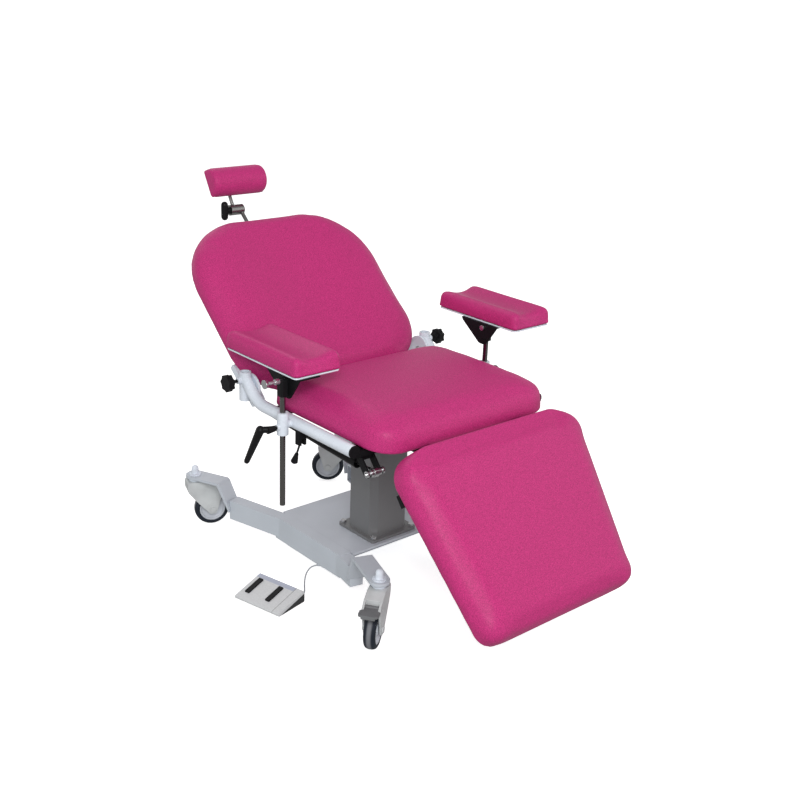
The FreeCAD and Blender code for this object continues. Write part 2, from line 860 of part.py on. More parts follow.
def make_seat_frame():
    cross_bottom = seat_bottom - cross_height
    rail_bottom = cross_bottom - rail_height
    half_x = head_plate_size[0] / 2
    half_y = head_plate_size[1] / 2
    pieces = [box((-half_x, half_x), (-half_y, half_y),
                  (rail_bottom - head_plate, rail_bottom))]
    for x in (-rail_x, rail_x):
        rail = (x - rail_width / 2, x + rail_width / 2)
        pieces.append(box(rail, (rail_front, rail_rear), (rail_bottom, cross_bottom)))
    for y in (front_cross_y, rear_cross_y):
        bar = box((-tube_x, tube_x), (y - cross_width / 2, y + cross_width / 2), (cross_bottom, seat_bottom))
        for x in (-tube_x, tube_x):
            bar = bar.cut(rod(V(x, y - cross_width, tube_z), V(x, y + cross_width, tube_z), tube_radius))
        pieces.append(bar)
    half = cross_width / 2 + 1
    relief = box((-spring_x - spring_relief_half, -spring_x + spring_relief_half),
                 (rear_cross_y - half, rear_cross_y + half), (cross_bottom - 1, cross_bottom + spring_relief))
    pieces[-1] = pieces[-1].cut(relief)
    pieces += leg_lugs() + [leg_spring_bracket(), back_hanger_block()]
    frame = pieces[0].fuse(pieces[1:]).removeSplitter()
    return [frame]


def leg_lugs():
    """Forked lugs that reach forward from the front cross member to the leg rest's hinge."""
    lugs = []
    inner = leg_arm_width / 2 + free_gap
    for x in (-leg_arm_x, leg_arm_x):
        for start in (x - inner - lug_thickness, x + inner):
            strap = box((start, start + lug_thickness), (leg_hinge_y, front_cross_y),
                        (seat_bottom - cross_height, seat_bottom - 1))
            place = V(start, leg_hinge_y, leg_hinge_z)
            lug = strap.fuse(rod(place, place + X_AXIS * lug_thickness, leg_eye_radius)).removeSplitter()
            hole = rod(place - X_AXIS, place + X_AXIS * (lug_thickness + 1), leg_pin_radius + running_gap)
            lugs.append(lug.cut(hole))
    return lugs


def leg_spring_bracket():
    """A fork under the rear cross member that holds the leg rest's gas spring."""
    y, z = leg_spring_anchor
    top = seat_bottom - cross_height
    fork = None
    inner = spring_eye_width / 2 + free_gap
    for start in (spring_x - inner - hanger_plate, spring_x + inner):
        outline = [
            (rear_cross_y - cross_width / 2, top), (rear_cross_y + cross_width / 2, top),
            (y + spring_eye_radius, z - spring_eye_radius), (y - spring_eye_radius, z - spring_eye_radius),
        ]
        ear = yz_plate(outline, [1.0, 1.0, 9.0, 9.0], start, start + hanger_plate)
        fork = ear if fork is None else fork.fuse(ear)
    centre = V(spring_x, y, z)
    reach = X_AXIS * (inner + hanger_plate + 1)
    return fork.cut(rod(centre - reach, centre + reach, spring_pin_radius + running_gap))


def back_hanger_block():
    """The welded block that the hanger plates of the backrest's gas spring are bolted to."""
    half = hanger_gap / 2
    top = seat_bottom - cross_height
    across = (-spring_x - half, -spring_x + half)
    return box(across, (front_cross_y - 14, front_cross_y + 14), (top - 12, top))


def make_seat_brackets():
    """Hanger plates for the backrest's gas spring, and the release levers' blocks."""
    pieces = []
    y, z = back_spring_anchor
    top = seat_bottom - cross_height
    half = hanger_width / 2
    for start in (-spring_x - hanger_gap / 2 - hanger_plate, -spring_x + hanger_gap / 2):
        outline = [
            (front_cross_y + half, top - free_gap), (front_cross_y - half, top - free_gap),
            (y - half, z - half + 2), (y + half, z - half),
        ]
        ear = yz_plate(outline, [2.0, 2.0, 7.0, 7.0], start, start + hanger_plate)
        place = V(start, y, z)
        hole = rod(place - X_AXIS, place + X_AXIS * (hanger_plate + 1), spring_pin_radius + running_gap)
        pieces.append(ear.cut(hole))
    for side in ("left", "right"):
        centre = point(side, tube_x, release_y, tube_z)
        bottom = tube_z - tube_radius - release_block[2] + 6
        block = box((centre.x - release_block[0] / 2, centre.x + release_block[0] / 2),
                    (release_y - release_block[1] / 2, release_y + release_block[1] / 2), (bottom, tube_z))
        block = block.cut(rod(centre - V(0, 60, 0), centre + V(0, 60, 0), tube_radius))
        slot = release_rod_radius + 1.5
        mouth = (centre.x - slot, centre.x + slot)
        block = block.cut(box(mouth, (release_y - 20, release_y + 20), (bottom - 1, bottom + 16)))
        pin = V(centre.x, release_y, bottom + 8)
        reach = X_AXIS * release_block[0]
        pieces.append(block.cut(rod(pin - reach, pin + reach, release_rod_radius + running_gap)))
    return pieces


def release_pin(side):
    centre = point(side, tube_x, release_y, tube_z - tube_radius - release_block[2] + 6)
    return centre + V(0, 0, 8)


def make_release_lever(side):
    """A wire lever on its cross pin, with a conical grip."""
    pin = release_pin(side)
    half = X_AXIS * (release_block[0] / 2)
    end = pin + V(0, release_lean, -release_drop)
    line = (end - pin).normalize()
    grip = cone(end, end + line * release_knob_length, release_knob_radius * 0.5, release_knob_radius)
    brim = end + line * release_knob_length
    tip = cone(brim, brim + line * release_knob_crown, release_knob_radius, release_knob_radius * 0.6)
    shank = rod(pin, end, release_rod_radius)
    lever = rod(pin - half, pin + half, release_rod_radius).fuse([shank, grip, tip])
    return [lever.removeSplitter()]


def make_side_tubes():
    """Each side tube with its accessory socket and armrest clamp welded on."""
    tubes = []
    for side in ("left", "right"):
        sign = 1 if side == "left" else -1
        points = side_tube_solid(side)
        outer = pipe(points, tube_bend_radius, tube_radius)
        inner = pipe(points, tube_bend_radius, tube_radius - tube_wall)
        low = point(side, tube_x, socket_y, socket_bottom)
        high = point(side, tube_x, socket_y, socket_top)
        socket = rod(low, high, tube_radius)
        knob = point(side, tube_x, socket_y, socket_knob_z)
        boss = rod(knob, knob + X_AXIS * sign * (tube_radius + socket_boss), socket_boss_radius)
        clamp_low = point(side, post_x, post_y, clamp_bottom)
        clamp_high = point(side, post_x, post_y, clamp_top)
        clamp = rod(clamp_low, clamp_high, clamp_radius)
        web = rod(point(side, tube_x, post_y, tube_z), point(side, post_x, post_y, tube_z), 10.0)
        lever = point(side, post_x, post_y, clamp_lever_z)
        lug = rod(lever, lever + X_AXIS * sign * (clamp_radius + 4), socket_boss_radius)
        solid = outer.fuse([socket, boss, clamp, web, lug]).removeSplitter()
        solid = solid.cut(inner.cut(rod(low, high, tube_radius)))
        solid = solid.cut(rod(low, high, socket_bore_radius))
        solid = solid.cut(rod(clamp_low, clamp_high, post_radius + running_gap))
        knob_hole = X_AXIS * sign * (tube_radius + socket_boss + 1)
        solid = solid.cut(rod(knob, knob + knob_hole, knob_screw_radius + running_gap))
        lever_hole = X_AXIS * sign * (clamp_radius + 5)
        solid = solid.cut(rod(lever, lever + lever_hole, knob_screw_radius + running_gap))
        tubes.append(solid)
    return tubes


def make_tube_caps():
    caps = []
    for side in ("left", "right"):
        end = point(side, tube_x, tube_front, tube_z)
        forward = V(0, -cap_length, 0)
        disc = rod(end, end + forward, tube_radius)
        plug = rod(end, end + V(0, cap_plug, 0), tube_radius - tube_wall - running_gap)
        caps.append(disc.fuse(plug))
    return caps


def make_hinge_pins():
    """Backrest hinge stubs, leg rest hinge pins and the gas springs' fixed pins."""
    pins = []
    for side in ("left", "right"):
        inner = point(side, hinge_plate_outer - hinge_plate - 2, socket_y, back_hinge_z)
        saddle = point(side, tube_x, socket_y, back_hinge_z)
        stub = rod(inner, saddle, hinge_pin_radius)
        reach = V(0, 0, hinge_disc_radius)
        stub = stub.cut(rod(saddle - reach, saddle + reach, tube_radius))
        pins.append(stub)
    inner = leg_arm_width / 2 + free_gap
    for x in (-leg_arm_x, leg_arm_x):
        reach = X_AXIS * (inner + lug_thickness + 2)
        centre = V(x, leg_hinge_y, leg_hinge_z)
        pins.append(rod(centre - reach, centre + reach, leg_pin_radius))
    centre = V(-spring_x, back_spring_anchor[0], back_spring_anchor[1])
    reach = X_AXIS * (hanger_gap / 2 + hanger_plate)
    bolt = rod(centre - reach - X_AXIS * 5, centre + reach + X_AXIS * 5, spring_pin_radius)
    for end in (-1, 1):
        face = centre + reach * end
        bolt = bolt.fuse(rod(face, face + X_AXIS * end * 5, bolt_head_radius))
        bolt = bolt.fuse(cone(face + X_AXIS * end * 5, face + X_AXIS * end * 9, spring_pin_radius, 2.5))
        spacer = centre + X_AXIS * end * (hanger_gap / 2)
        stop = centre + X_AXIS * end * (spring_eye_width / 2 + free_gap)
        bolt = bolt.fuse(rod(stop, spacer, spacer_radius))
    pins.append(bolt.removeSplitter())
    centre = V(spring_x, leg_spring_anchor[0], leg_spring_anchor[1])
    reach = X_AXIS * (spring_eye_width / 2 + free_gap + hanger_plate + 2)
    pins.append(rod(centre - reach, centre + reach, spring_pin_radius))
    return pins


def make_seat_pad():
    pad = cushion(seat_front, seat_rear, seat_half_width, seat_half_width, 78.0, 48.0, seat_bottom, seat_top)
    return [pad]


# Backrest
def make_backrest_pad():
    low = socket_y + back_low
    high = socket_y + back_high
    top = back_hinge_z + back_rise
    pad = cushion(low, high, back_half_width, back_half_width, back_foot_corner, back_corner,
                  top - back_thickness, top)
    pad = dished(pad, low - 10, high + 10, top, back_dish, back_half_width * 0.55)
    return [turned(pad, back_hinge, back_angle)]


def make_backrest_frame():
    """Hinge plates, cross bars, rails, the gas spring's lever and the head bar's guide."""
    under = back_hinge_z + back_rise - back_thickness
    inner = hinge_plate_outer - hinge_plate
    pieces = []
    for x in (-1, 1):
        start = inner if x > 0 else -hinge_plate_outer
        place = V(start, socket_y, back_hinge_z)
        disc = rod(place, place + X_AXIS * hinge_plate, hinge_disc_radius)
        far = socket_y + back_bar_places[0] + back_bar_width / 2
        tail = yz_plate([(socket_y, back_hinge_z), (socket_y + hinge_tail, under + 1), (far, under - 2),
                         (far, under - back_bar), (socket_y, back_hinge_z - hinge_disc_radius)],
                        [1.0, 4.0, 4.0, 6.0, 1.0], start, start + hinge_plate)
        ear = disc.fuse(tail).removeSplitter()
        hole = rod(place - X_AXIS, place + X_AXIS * (hinge_plate + 1), hinge_pin_radius + running_gap)
        pieces.append(ear.cut(hole))
    bar_half = back_bar_width / 2
    for along in back_bar_places:
        half = inner if along == back_bar_places[0] else back_rail_x + back_rail_width
        middle = socket_y + along
        pieces.append(box((-half, half), (middle - bar_half, middle + bar_half), (under - back_bar, under)))
    ends = (socket_y + back_bar_places[0] - bar_half, socket_y + back_bar_places[1] + bar_half)
    for x in (-back_rail_x, back_rail_x):
        pieces.append(box((x - back_rail_width / 2, x + back_rail_width / 2), ends,
                          (under - back_bar - back_rail, under - back_bar)))
    pieces.append(back_spring_lever(under))
    pieces.append(head_bar_guide(under))
    frame = pieces[0].fuse(pieces[1:]).removeSplitter()
    return [turned(frame, back_hinge, back_angle)]


def back_spring_lever(under):
    """Twin bars that hang from the lower cross bar, with the gas spring's pin across them."""
    along, up = back_spring_pin
    pin = V(-spring_x, socket_y + along, back_hinge_z + up)
    inner = spring_eye_width / 2 + free_gap
    lever = None
    for start in (-spring_x - inner - hanger_plate, -spring_x + inner):
        top = under - free_gap
        outline = [
            (pin.y - spring_eye_radius, top), (socket_y + back_bar_places[0], top),
            (socket_y + back_bar_places[0], top - back_bar), (pin.y + 6, pin.z - spring_eye_radius),
            (pin.y - spring_eye_radius, pin.z - spring_eye_radius),
        ]
        bar = yz_plate(outline, [6.0, 1.0, 1.0, 12.0, 9.0], start, start + hanger_plate)
        lever = bar if lever is None else lever.fuse(bar)
    reach = X_AXIS * (inner + hanger_plate)
    return lever.fuse(rod(pin - reach, pin + reach, spring_pin_radius))


def head_bar_guide(under):
    """A round sleeve on the upper cross bar for the head cushion's bar."""
    low = socket_y + back_bar_places[1] - back_bar_width / 2
    high = socket_y + back_bar_places[1] + head_guide_reach
    z = back_hinge_z + knuckle_up
    sleeve = rod(V(0, low, z), V(0, high, z), head_guide_radius)
    saddle = box((-head_guide_radius, head_guide_radius), (low, low + back_bar_width), (z, under - back_bar))
    guide = sleeve.fuse(saddle)
    return guide.cut(rod(V(0, low - 1, z), V(0, high + 1, z), head_bar_radius + running_gap))


def knuckle_place():
    return V(0, socket_y + knuckle_along, back_hinge_z + knuckle_up)


def make_head_bar():
    """The round bar behind the backrest, with the knuckle's first cheek at its end."""
    centre = knuckle_place()
    bar = rod(V(0, socket_y + head_bar_low, centre.z), centre, head_bar_radius)
    half = X_AXIS * (bar_cheek / 2)
    solid = bar.fuse(rod(centre - half, centre + half, knuckle_radius)).removeSplitter()
    solid = solid.cut(rod(centre - half * 2, centre + half * 2, knob_screw_radius + running_gap))
    return [turned(solid, back_hinge, back_angle)]


def stem_cheek_places():
    """The two ends of the stem's cheek along the knuckle's axis."""
    near = -bar_cheek / 2 - free_gap
    return near, near - stem_cheek


def make_wing_knob():
    """A clamp screw through the knuckle, with a two-winged grip on the patient's right."""
    centre = knuckle_place()
    face = centre + X_AXIS * (stem_cheek_places()[1] - free_gap)
    hub = face - X_AXIS * wing_neck
    back = centre + X_AXIS * (bar_cheek / 2 + free_gap)
    screw = rod(hub, back + X_AXIS * 5, knob_screw_radius)
    neck = cone(face, hub, 10.0, 7.0)
    upright = math.radians(back_angle)
    lift = V(0, math.sin(upright), math.cos(upright)) * (wing_span - wing_radius)
    grip = rod(hub - lift, hub + lift, wing_radius)
    ends = [dome(hub + lift * s, lift * s, wing_radius) for s in (-1, 1)]
    nut = rod(back, back + X_AXIS * 5, 8.0)
    knob = screw.fuse([neck, grip, nut] + ends).removeSplitter()
    return [turned(knob, back_hinge, back_angle)]


def head_axes():
    """Unit vectors of the cushion in the flat drawing: up its back, and out of its front."""
    angle = math.radians(head_stem_turn)
    return V(0, math.cos(angle), math.sin(angle)), V(0, -math.sin(angle), math.cos(angle))


def make_head_bracket():
    """The knuckle's second cheek, the stem and the plate behind the cushion."""
    centre = knuckle_place()
    near, far = stem_cheek_places()
    cheek = rod(centre + X_AXIS * near, centre + X_AXIS * far, knuckle_radius)
    up, out = head_axes()
    foot = centre + X_AXIS * (near + far) / 2
    stem = rod(foot, foot + up * head_stem_length, head_stem_radius)
    half_x, half_up = head_plate_half
    middle = centre + up * head_place + out * (head_stem_radius - 1)
    corners = [
        middle - X_AXIS * half_x - up * half_up, middle + X_AXIS * half_x - up * half_up,
        middle + X_AXIS * half_x + up * half_up, middle - X_AXIS * half_x + up * half_up,
    ]
    back_plate = plate(corners, [8.0] * 4, out * head_plate_thickness)
    solid = cheek.fuse([stem, back_plate]).removeSplitter()
    reach = X_AXIS * 60
    solid = solid.cut(rod(centre - reach, centre + reach, knob_screw_radius + running_gap))
    return [turned(solid, back_hinge, back_angle)]


def make_head_cushion():
    """A half-round bolster, flat behind, with slightly domed ends."""
    up, out = head_axes()
    back = knuckle_place() + up * head_place + out * (head_stem_radius - 1 + head_plate_thickness)
    wires = []
    for share, size in head_section_shares:
        centre = back + X_AXIS * head_half_width * share
        low = centre - up * head_half_height * size
        high = centre + up * head_half_height * size
        nose = centre + out * head_depth * size
        mid_low = centre - up * head_half_height * size * 0.98 + out * head_depth * size * 0.3
        mid_high = centre + up * head_half_height * size * 0.98 + out * head_depth * size * 0.3
        wires.append(Part.Wire([
            Part.makeLine(high, low), Part.makeLine(low, mid_low),
            Part.Arc(mid_low, nose, mid_high).toShape(), Part.makeLine(mid_high, high),
        ]))
    pad = Part.makeLoft(wires, True, True)
    return [turned(pad, back_hinge, back_angle)]


# Leg rest
def make_leg_pad():
    rear = leg_hinge_y - leg_start
    top = leg_hinge_z + leg_rise
    pad = cushion(rear - leg_length, rear, leg_foot_half_width, leg_top_half_width,
                  leg_foot_corner, leg_top_corner, top - leg_thickness, top)
    return [turned(pad, leg_hinge, leg_angle)]


def make_leg_frame():
    """Two arms with hinge eyes, cross bars under the pad and the gas spring's lever."""
    under = leg_hinge_z + leg_rise - leg_thickness
    pieces = []
    for x in (-leg_arm_x, leg_arm_x):
        start = x - leg_arm_width / 2
        arm = box((start, start + leg_arm_width), (leg_hinge_y - leg_arm_length, leg_hinge_y),
                  (under - leg_arm_height, under))
        place = V(start, leg_hinge_y, leg_hinge_z)
        eye = rod(place, place + X_AXIS * leg_arm_width, leg_eye_radius)
        arm = arm.fuse(eye).removeSplitter()
        hole = rod(place - X_AXIS, place + X_AXIS * (leg_arm_width + 1), leg_pin_radius + running_gap)
        pieces.append(arm.cut(hole))
    for along in leg_cross_places:
        reach = spring_x + 24 if along == leg_cross_places[0] else leg_arm_x + 40
        middle = leg_hinge_y - along
        pieces.append(box((-reach, reach), (middle - leg_cross_half, middle + leg_cross_half),
                          (under - leg_cross, under)))
    frame = turned(pieces[0].fuse(pieces[1:]).removeSplitter(), leg_hinge, leg_angle)
    return [frame.fuse(leg_lever()).removeSplitter()]


def leg_lever():
    """Twin bars from the upper cross bar back to the gas spring's pin, in the stored pose."""
    pin = leg_lever_point(spring_x)
    turn = FreeCAD.Rotation(X_AXIS, leg_angle)
    under = leg_rise - leg_thickness
    foot = leg_hinge + turn.multVec(V(0, -leg_cross_places[0] - 10, under - 6))
    root = leg_hinge + turn.multVec(V(0, -leg_cross_places[0] + 14, under - 6))
    inner = spring_eye_width / 2 + free_gap
    lever = None
    for start in (spring_x - inner - hanger_plate, spring_x + inner):
        outline = [
            (root.y, root.z + 4), (foot.y, foot.z), (foot.y + 12, foot.z - 14),
            (pin.y + 2, pin.z - spring_eye_radius), (pin.y + spring_eye_radius, pin.z + 4),
            (pin.y + 2, pin.z + spring_eye_radius),
        ]
        bar = yz_plate(outline, [1.0, 1.0, 6.0, 8.0, 6.0, 6.0], start, start + hanger_plate)
        lever = bar if lever is None else lever.fuse(bar)
    reach = X_AXIS * (inner + hanger_plate)
    return lever.fuse(rod(pin - reach, pin + reach, spring_pin_radius))


# Gas springs: a tube with an eye at one end, and a rod with an eye at the other
def spring_cylinder(eye, far, exposed):
    line = (far - eye).normalize()
    mouth = far - line * exposed
    body = rod(eye + line * spring_neck, mouth, spring_radius)
    bore = rod(eye + line * (spring_neck + 14), mouth, spring_bore_radius)
    return spring_end(body.cut(bore), eye, line, spring_neck + 2, 7.0)


def spring_rod(eye, far, inside):
    line = (far - eye).normalize()
    return spring_end(rod(eye + line * 8, eye + line * inside, spring_rod_radius), eye, line, 22.0, 5.0)


def spring_end(body, eye, line, length, neck_radius):
    half = X_AXIS * (spring_eye_width / 2)
    head = rod(eye - half, eye + half, spring_eye_radius)
    neck = rod(eye, eye + line * length, min(neck_radius, spring_eye_width / 2))
    solid = body.fuse([head, neck]).removeSplitter()
    return solid.cut(rod(eye - half * 2, eye + half * 2, spring_pin_radius + running_gap))


def back_spring_ends():
    along, up = back_spring_pin
    return back_point(-spring_x, along, up), V(-spring_x, back_spring_anchor[0], back_spring_anchor[1])


def leg_spring_ends():
    return V(spring_x, leg_spring_anchor[0], leg_spring_anchor[1]), leg_lever_point(spring_x)


def make_back_spring_cylinder():
    eye, far = back_spring_ends()
    return [spring_cylinder(eye, far, back_spring_exposed)]


def make_back_spring_rod():
    far, eye = back_spring_ends()
    return [spring_rod(eye, far, back_spring_exposed + spring_rod_hidden)]


def make_leg_spring_cylinder():
    eye, far = leg_spring_ends()
    return [spring_cylinder(eye, far, leg_spring_exposed)]


def make_leg_spring_rod():
    far, eye = leg_spring_ends()
    return [spring_rod(eye, far, leg_spring_exposed + spring_rod_hidden)]


# Armrests
def arm_plate_x(side):
    """The two faces of the armrest's bracket plate, on the seat side of the post."""
    outer = post_x - arm_head_size[0] / 2 - free_gap
    return (outer - arm_plate, outer) if side == "left" else (-outer, -outer + arm_plate)


def make_arm_post(side):
    low = point(side, post_x, post_y, post_bottom)
    return [rod(low, point(side, post_x, post_y, post_top), post_radius)]


def make_arm_head(side):
    """A swivelling block on the post's top that carries the armrest's tilt screw."""
    x = point(side, post_x, post_y, 0).x
    half_x = arm_head_size[0] / 2
    half_y = arm_head_size[1] / 2
    foot = V(x, post_y, arm_head_bottom)
    outline = [foot + V(-half_x, -half_y, 0), foot + V(half_x, -half_y, 0),
               foot + V(half_x, half_y, 0), foot + V(-half_x, half_y, 0)]
    block = plate(outline, [5.0] * 4, V(0, 0, arm_head_top - arm_head_bottom))
    block = block.cut(rod(foot, V(x, post_y, post_top + free_gap), post_radius + running_gap))
    pivot = V(x, post_y, arm_pivot_z)
    reach = X_AXIS * (half_x + 1)
    dome = rod(V(x - half_x, post_y, arm_pivot_z), V(x + half_x, post_y, arm_pivot_z), half_y)
    crown = box((x - half_x, x + half_x), (post_y - half_y, post_y + half_y), (arm_head_bottom, arm_pivot_z))
    block = block.common(dome.fuse(crown))
    return [block.cut(rod(pivot - reach, pivot + reach, arm_screw_radius + running_gap))]


def make_arm_bracket(side):
    """A triangular plate with an arc of index holes and a bent top flange."""
    low_x, high_x = arm_plate_x(side)
    half = arm_plate_width / 2
    middle = post_y + arm_plate_shift
    top = arm_pad_bottom
    outline = [
        (middle - half, top), (middle + half, top), (middle + half - 4, top - 8),
        (post_y + 12, arm_pivot_z - arm_plate_drop), (post_y - 12, arm_pivot_z - arm_plate_drop),
        (middle - half + 4, top - 8),
    ]
    face = yz_plate(outline, [1.0, 1.0, 6.0, 12.0, 12.0, 6.0], low_x, high_x)
    flange = box((low_x, low_x + arm_flange_width), (middle - half, middle + half), (top - arm_flange, top))
    solid = face.fuse(flange).removeSplitter()
    pivot = V(low_x - 1, post_y, arm_pivot_z)
    solid = solid.cut(rod(pivot, pivot + X_AXIS * (arm_plate + 2), arm_screw_radius + running_gap))
    for i in range(arm_hole_count):
        angle = math.radians(-90 + (i - (arm_hole_count - 1) / 2) * arm_hole_step)
        hole = pivot + V(0, math.cos(angle), math.sin(angle)) * arm_hole_ring
        solid = solid.cut(rod(hole, hole + X_AXIS * (arm_plate + 2), arm_hole_radius))
    return [solid]


def make_arm_pad(side):
    """A long pad on a thin board, with a lengthwise hollow for the forearm."""
    middle = arm_plate_x(side)[0] + arm_pad_shift[side]
    front = arm_pad_front[side]
    half = arm_pad_width / 2
    low = arm_pad_bottom + arm_board
    wires = []
    span = arm_pad_length
    ends = [(span - along, inset) for along, inset in reversed(arm_pad_ends)]
    for along, inset in list(arm_pad_ends) + ends:
        y = front + along
        edge = half - inset
        top = arm_pad_bottom + arm_pad_height - inset
        shoulder = edge - arm_pad_shoulder
        brow = top - arm_pad_brow
        p = [
            V(middle - edge, y, low), V(middle + edge, y, low), V(middle + edge, y, brow),
            V(middle + shoulder, y, top), V(middle, y, top - arm_pad_dip), V(middle - shoulder, y, top),
            V(middle - edge, y, brow),
        ]
        round_x, round_z = arm_pad_round
        round_right = V(middle + edge - round_x, y, top - round_z)
        round_left = V(middle - edge + round_x, y, top - round_z)
        wires.append(Part.Wire([
            Part.makeLine(p[0], p[1]), Part.makeLine(p[1], p[2]), Part.Arc(p[2], round_right, p[3]).toShape(),
            Part.Arc(p[3], p[4], p[5]).toShape(), Part.Arc(p[5], round_left, p[6]).toShape(),
            Part.makeLine(p[6], p[0]),
        ]))
    board = plate([V(middle - half, front, arm_pad_bottom), V(middle + half, front, arm_pad_bottom),
                   V(middle + half, front + span, arm_pad_bottom),
                   V(middle - half, front + span, arm_pad_bottom)],
                  [10.0] * 4, V(0, 0, arm_board))
    return [Part.makeLoft(wires, True, True), board]


def make_arm_screw(side):
    """The tilt screw with its round knob on the outer side."""
    sign = 1 if side == "left" else -1
    pivot = point(side, post_x, post_y, arm_pivot_z)
    outer = pivot + X_AXIS * sign * (arm_head_size[0] / 2 + arm_screw_length)
    inner = pivot - X_AXIS * sign * (arm_head_size[0] / 2 + arm_plate + 6)
    screw = rod(inner, outer, arm_screw_radius)
    collar = pivot + X_AXIS * sign * (arm_head_size[0] / 2 + free_gap)
    nut = rod(collar, collar + X_AXIS * sign * 12, 7.0)
    back = pivot - X_AXIS * sign * (arm_head_size[0] / 2 + arm_plate + 2 * free_gap)
    end_nut = rod(back, inner, 7.0)
    knob = cone(outer, outer + X_AXIS * sign * arm_knob, arm_knob_radius - 2, arm_knob_radius)
    return [screw.fuse([nut, end_nut, knob]).removeSplitter()]


def tapered_grip(start, end, first_radius, last_radius):
    """A handle spun from a tapering profile with rounded ends."""
    length = (end - start).Length
    foot = [(radius, -height) for radius, height in reversed(quarter_round(first_radius))]
    tip = [(radius, length + height) for radius, height in quarter_round(last_radius)]
    return spun(foot + tip, start, end - start)


def make_clamp_lever(side):
    """An elbowed lever on a threaded stud that locks the armrest's post."""
    base = V(post_x, post_y, clamp_lever_z)
    stud = rod(base + X_AXIS * (post_radius + 1), base + X_AXIS * (clamp_radius + 18), knob_screw_radius)
    hub = cone(base + X_AXIS * (clamp_radius + 8), base + X_AXIS * (clamp_radius + 30), 7.0, 9.5)
    elbow = base + X_AXIS * (clamp_radius + 42) + V(0, 12, 0)
    end = elbow + V(0, 58, -100)
    neck = rod(base + X_AXIS * (clamp_radius + 20), elbow, 8.0)
    grip = tapered_grip(elbow, end, 10.5, 7.0)
    lever = stud.fuse([hub, neck, grip]).removeSplitter()
    return [lever if side == "left" else mirrored(lever)]


# Knobs of the accessory sockets
def make_socket_knob(side):
    sign = 1 if side == "left" else -1
    out = X_AXIS * sign
    base = point(side, tube_x, socket_y, socket_knob_z)
    face = base + out * (tube_radius + socket_boss)
    start = face + out * knob_standoff
    screw = rod(base + out * socket_bore_radius, start + out, knob_screw_radius)
    neck = cone(start, start + out * knob_neck, 8.0, 10.0)
    rim = start + out * knob_neck
    star = rod(rim, rim + out * knob_thickness, knob_radius - knob_lobe_radius * 0.6)
    for i in range(knob_lobes):
        angle = 2 * math.pi * i / knob_lobes
        lobe = rim + V(0, math.cos(angle), math.sin(angle)) * (knob_radius - knob_lobe_radius)
        star = star.fuse(rod(lobe, lobe + out * knob_thickness, knob_lobe_radius))
    return [screw.fuse([neck, star]).removeSplitter()]


def lifted(solids, side):
    """Carry an armrest's solids to the height that its post is clamped at."""
    for solid in solids:
        solid.translate(V(0, 0, arm_lift[side]))
    return solids


def all_pieces():
    pieces = {
        "base_frame": make_base_frame(), "castor_straps": make_castor_straps(),
        "castor_stems": make_castor_stems(),
        "castor_caps": make_castor_caps(), "control_box": make_control_box(),
        "column_outer": make_column_outer(),
        "column_wiper": make_column_wiper(), "column_bolts": make_column_bolts(),
        "lift_actuator": make_lift_actuator(),
        "pedal_base": make_pedal_base(), "pedal_shell": make_pedal_shell(), "pedal_cord": make_pedal_cord(),
        "pedal_key_up": make_pedal_key(key_places[0]), "pedal_key_down": make_pedal_key(key_places[1]),
        "column_inner": make_column_inner(), "lift_rod": make_lift_rod(), "seat_frame": make_seat_frame(),
        "side_tubes": make_side_tubes(), "tube_caps": make_tube_caps(), "seat_brackets": make_seat_brackets(),
        "hinge_pins": make_hinge_pins(), "seat_pad": make_seat_pad(),
        "backrest_pad": make_backrest_pad(), "backrest_frame": make_backrest_frame(),
        "leg_pad": make_leg_pad(), "leg_frame": make_leg_frame(),
        "back_spring_cylinder": make_back_spring_cylinder(), "back_spring_rod": make_back_spring_rod(),
        "leg_spring_cylinder": make_leg_spring_cylinder(), "leg_spring_rod": make_leg_spring_rod(),
        "head_bar": make_head_bar(), "head_wing_knob": make_wing_knob(),
        "head_bracket": make_head_bracket(), "head_cushion": make_head_cushion(),
    }
    for name in castor_angle:
        pieces["castor_fork_" + name] = make_fork(name)
        pieces["castor_wheel_" + name] = make_wheel(name)
        if name.startswith("front"):
            pieces["castor_brake_" + name] = make_brake(name)
    for side in ("left", "right"):
        pieces["release_lever_" + side] = make_release_lever(side)
        pieces["arm_post_" + side] = lifted(make_arm_post(side), side)
        pieces["arm_head_" + side] = lifted(make_arm_head(side), side)
        pieces["arm_bracket_" + side] = lifted(make_arm_bracket(side), side)
        pieces["arm_pad_" + side] = lifted(make_arm_pad(side), side)
        pieces["arm_screw_" + side] = lifted(make_arm_screw(side), side)
        pieces["clamp_lever_" + side] = make_clamp_lever(side)
        pieces["socket_knob_" + side] = make_socket_knob(side)
    return pieces


def main():
    os.makedirs("parts", exist_ok=True)
    for name, solids in all_pieces().items():
        shape = solids[0] if len(solids) == 1 else Part.makeCompound(solids)
        shape.exportStep("parts/%s.step" % name)


main()
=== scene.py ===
import json
import math

import bmesh
import bpy
from bpy.props import FloatProperty, FloatVectorProperty, IntProperty, PointerProperty
from mathutils import Matrix, Vector


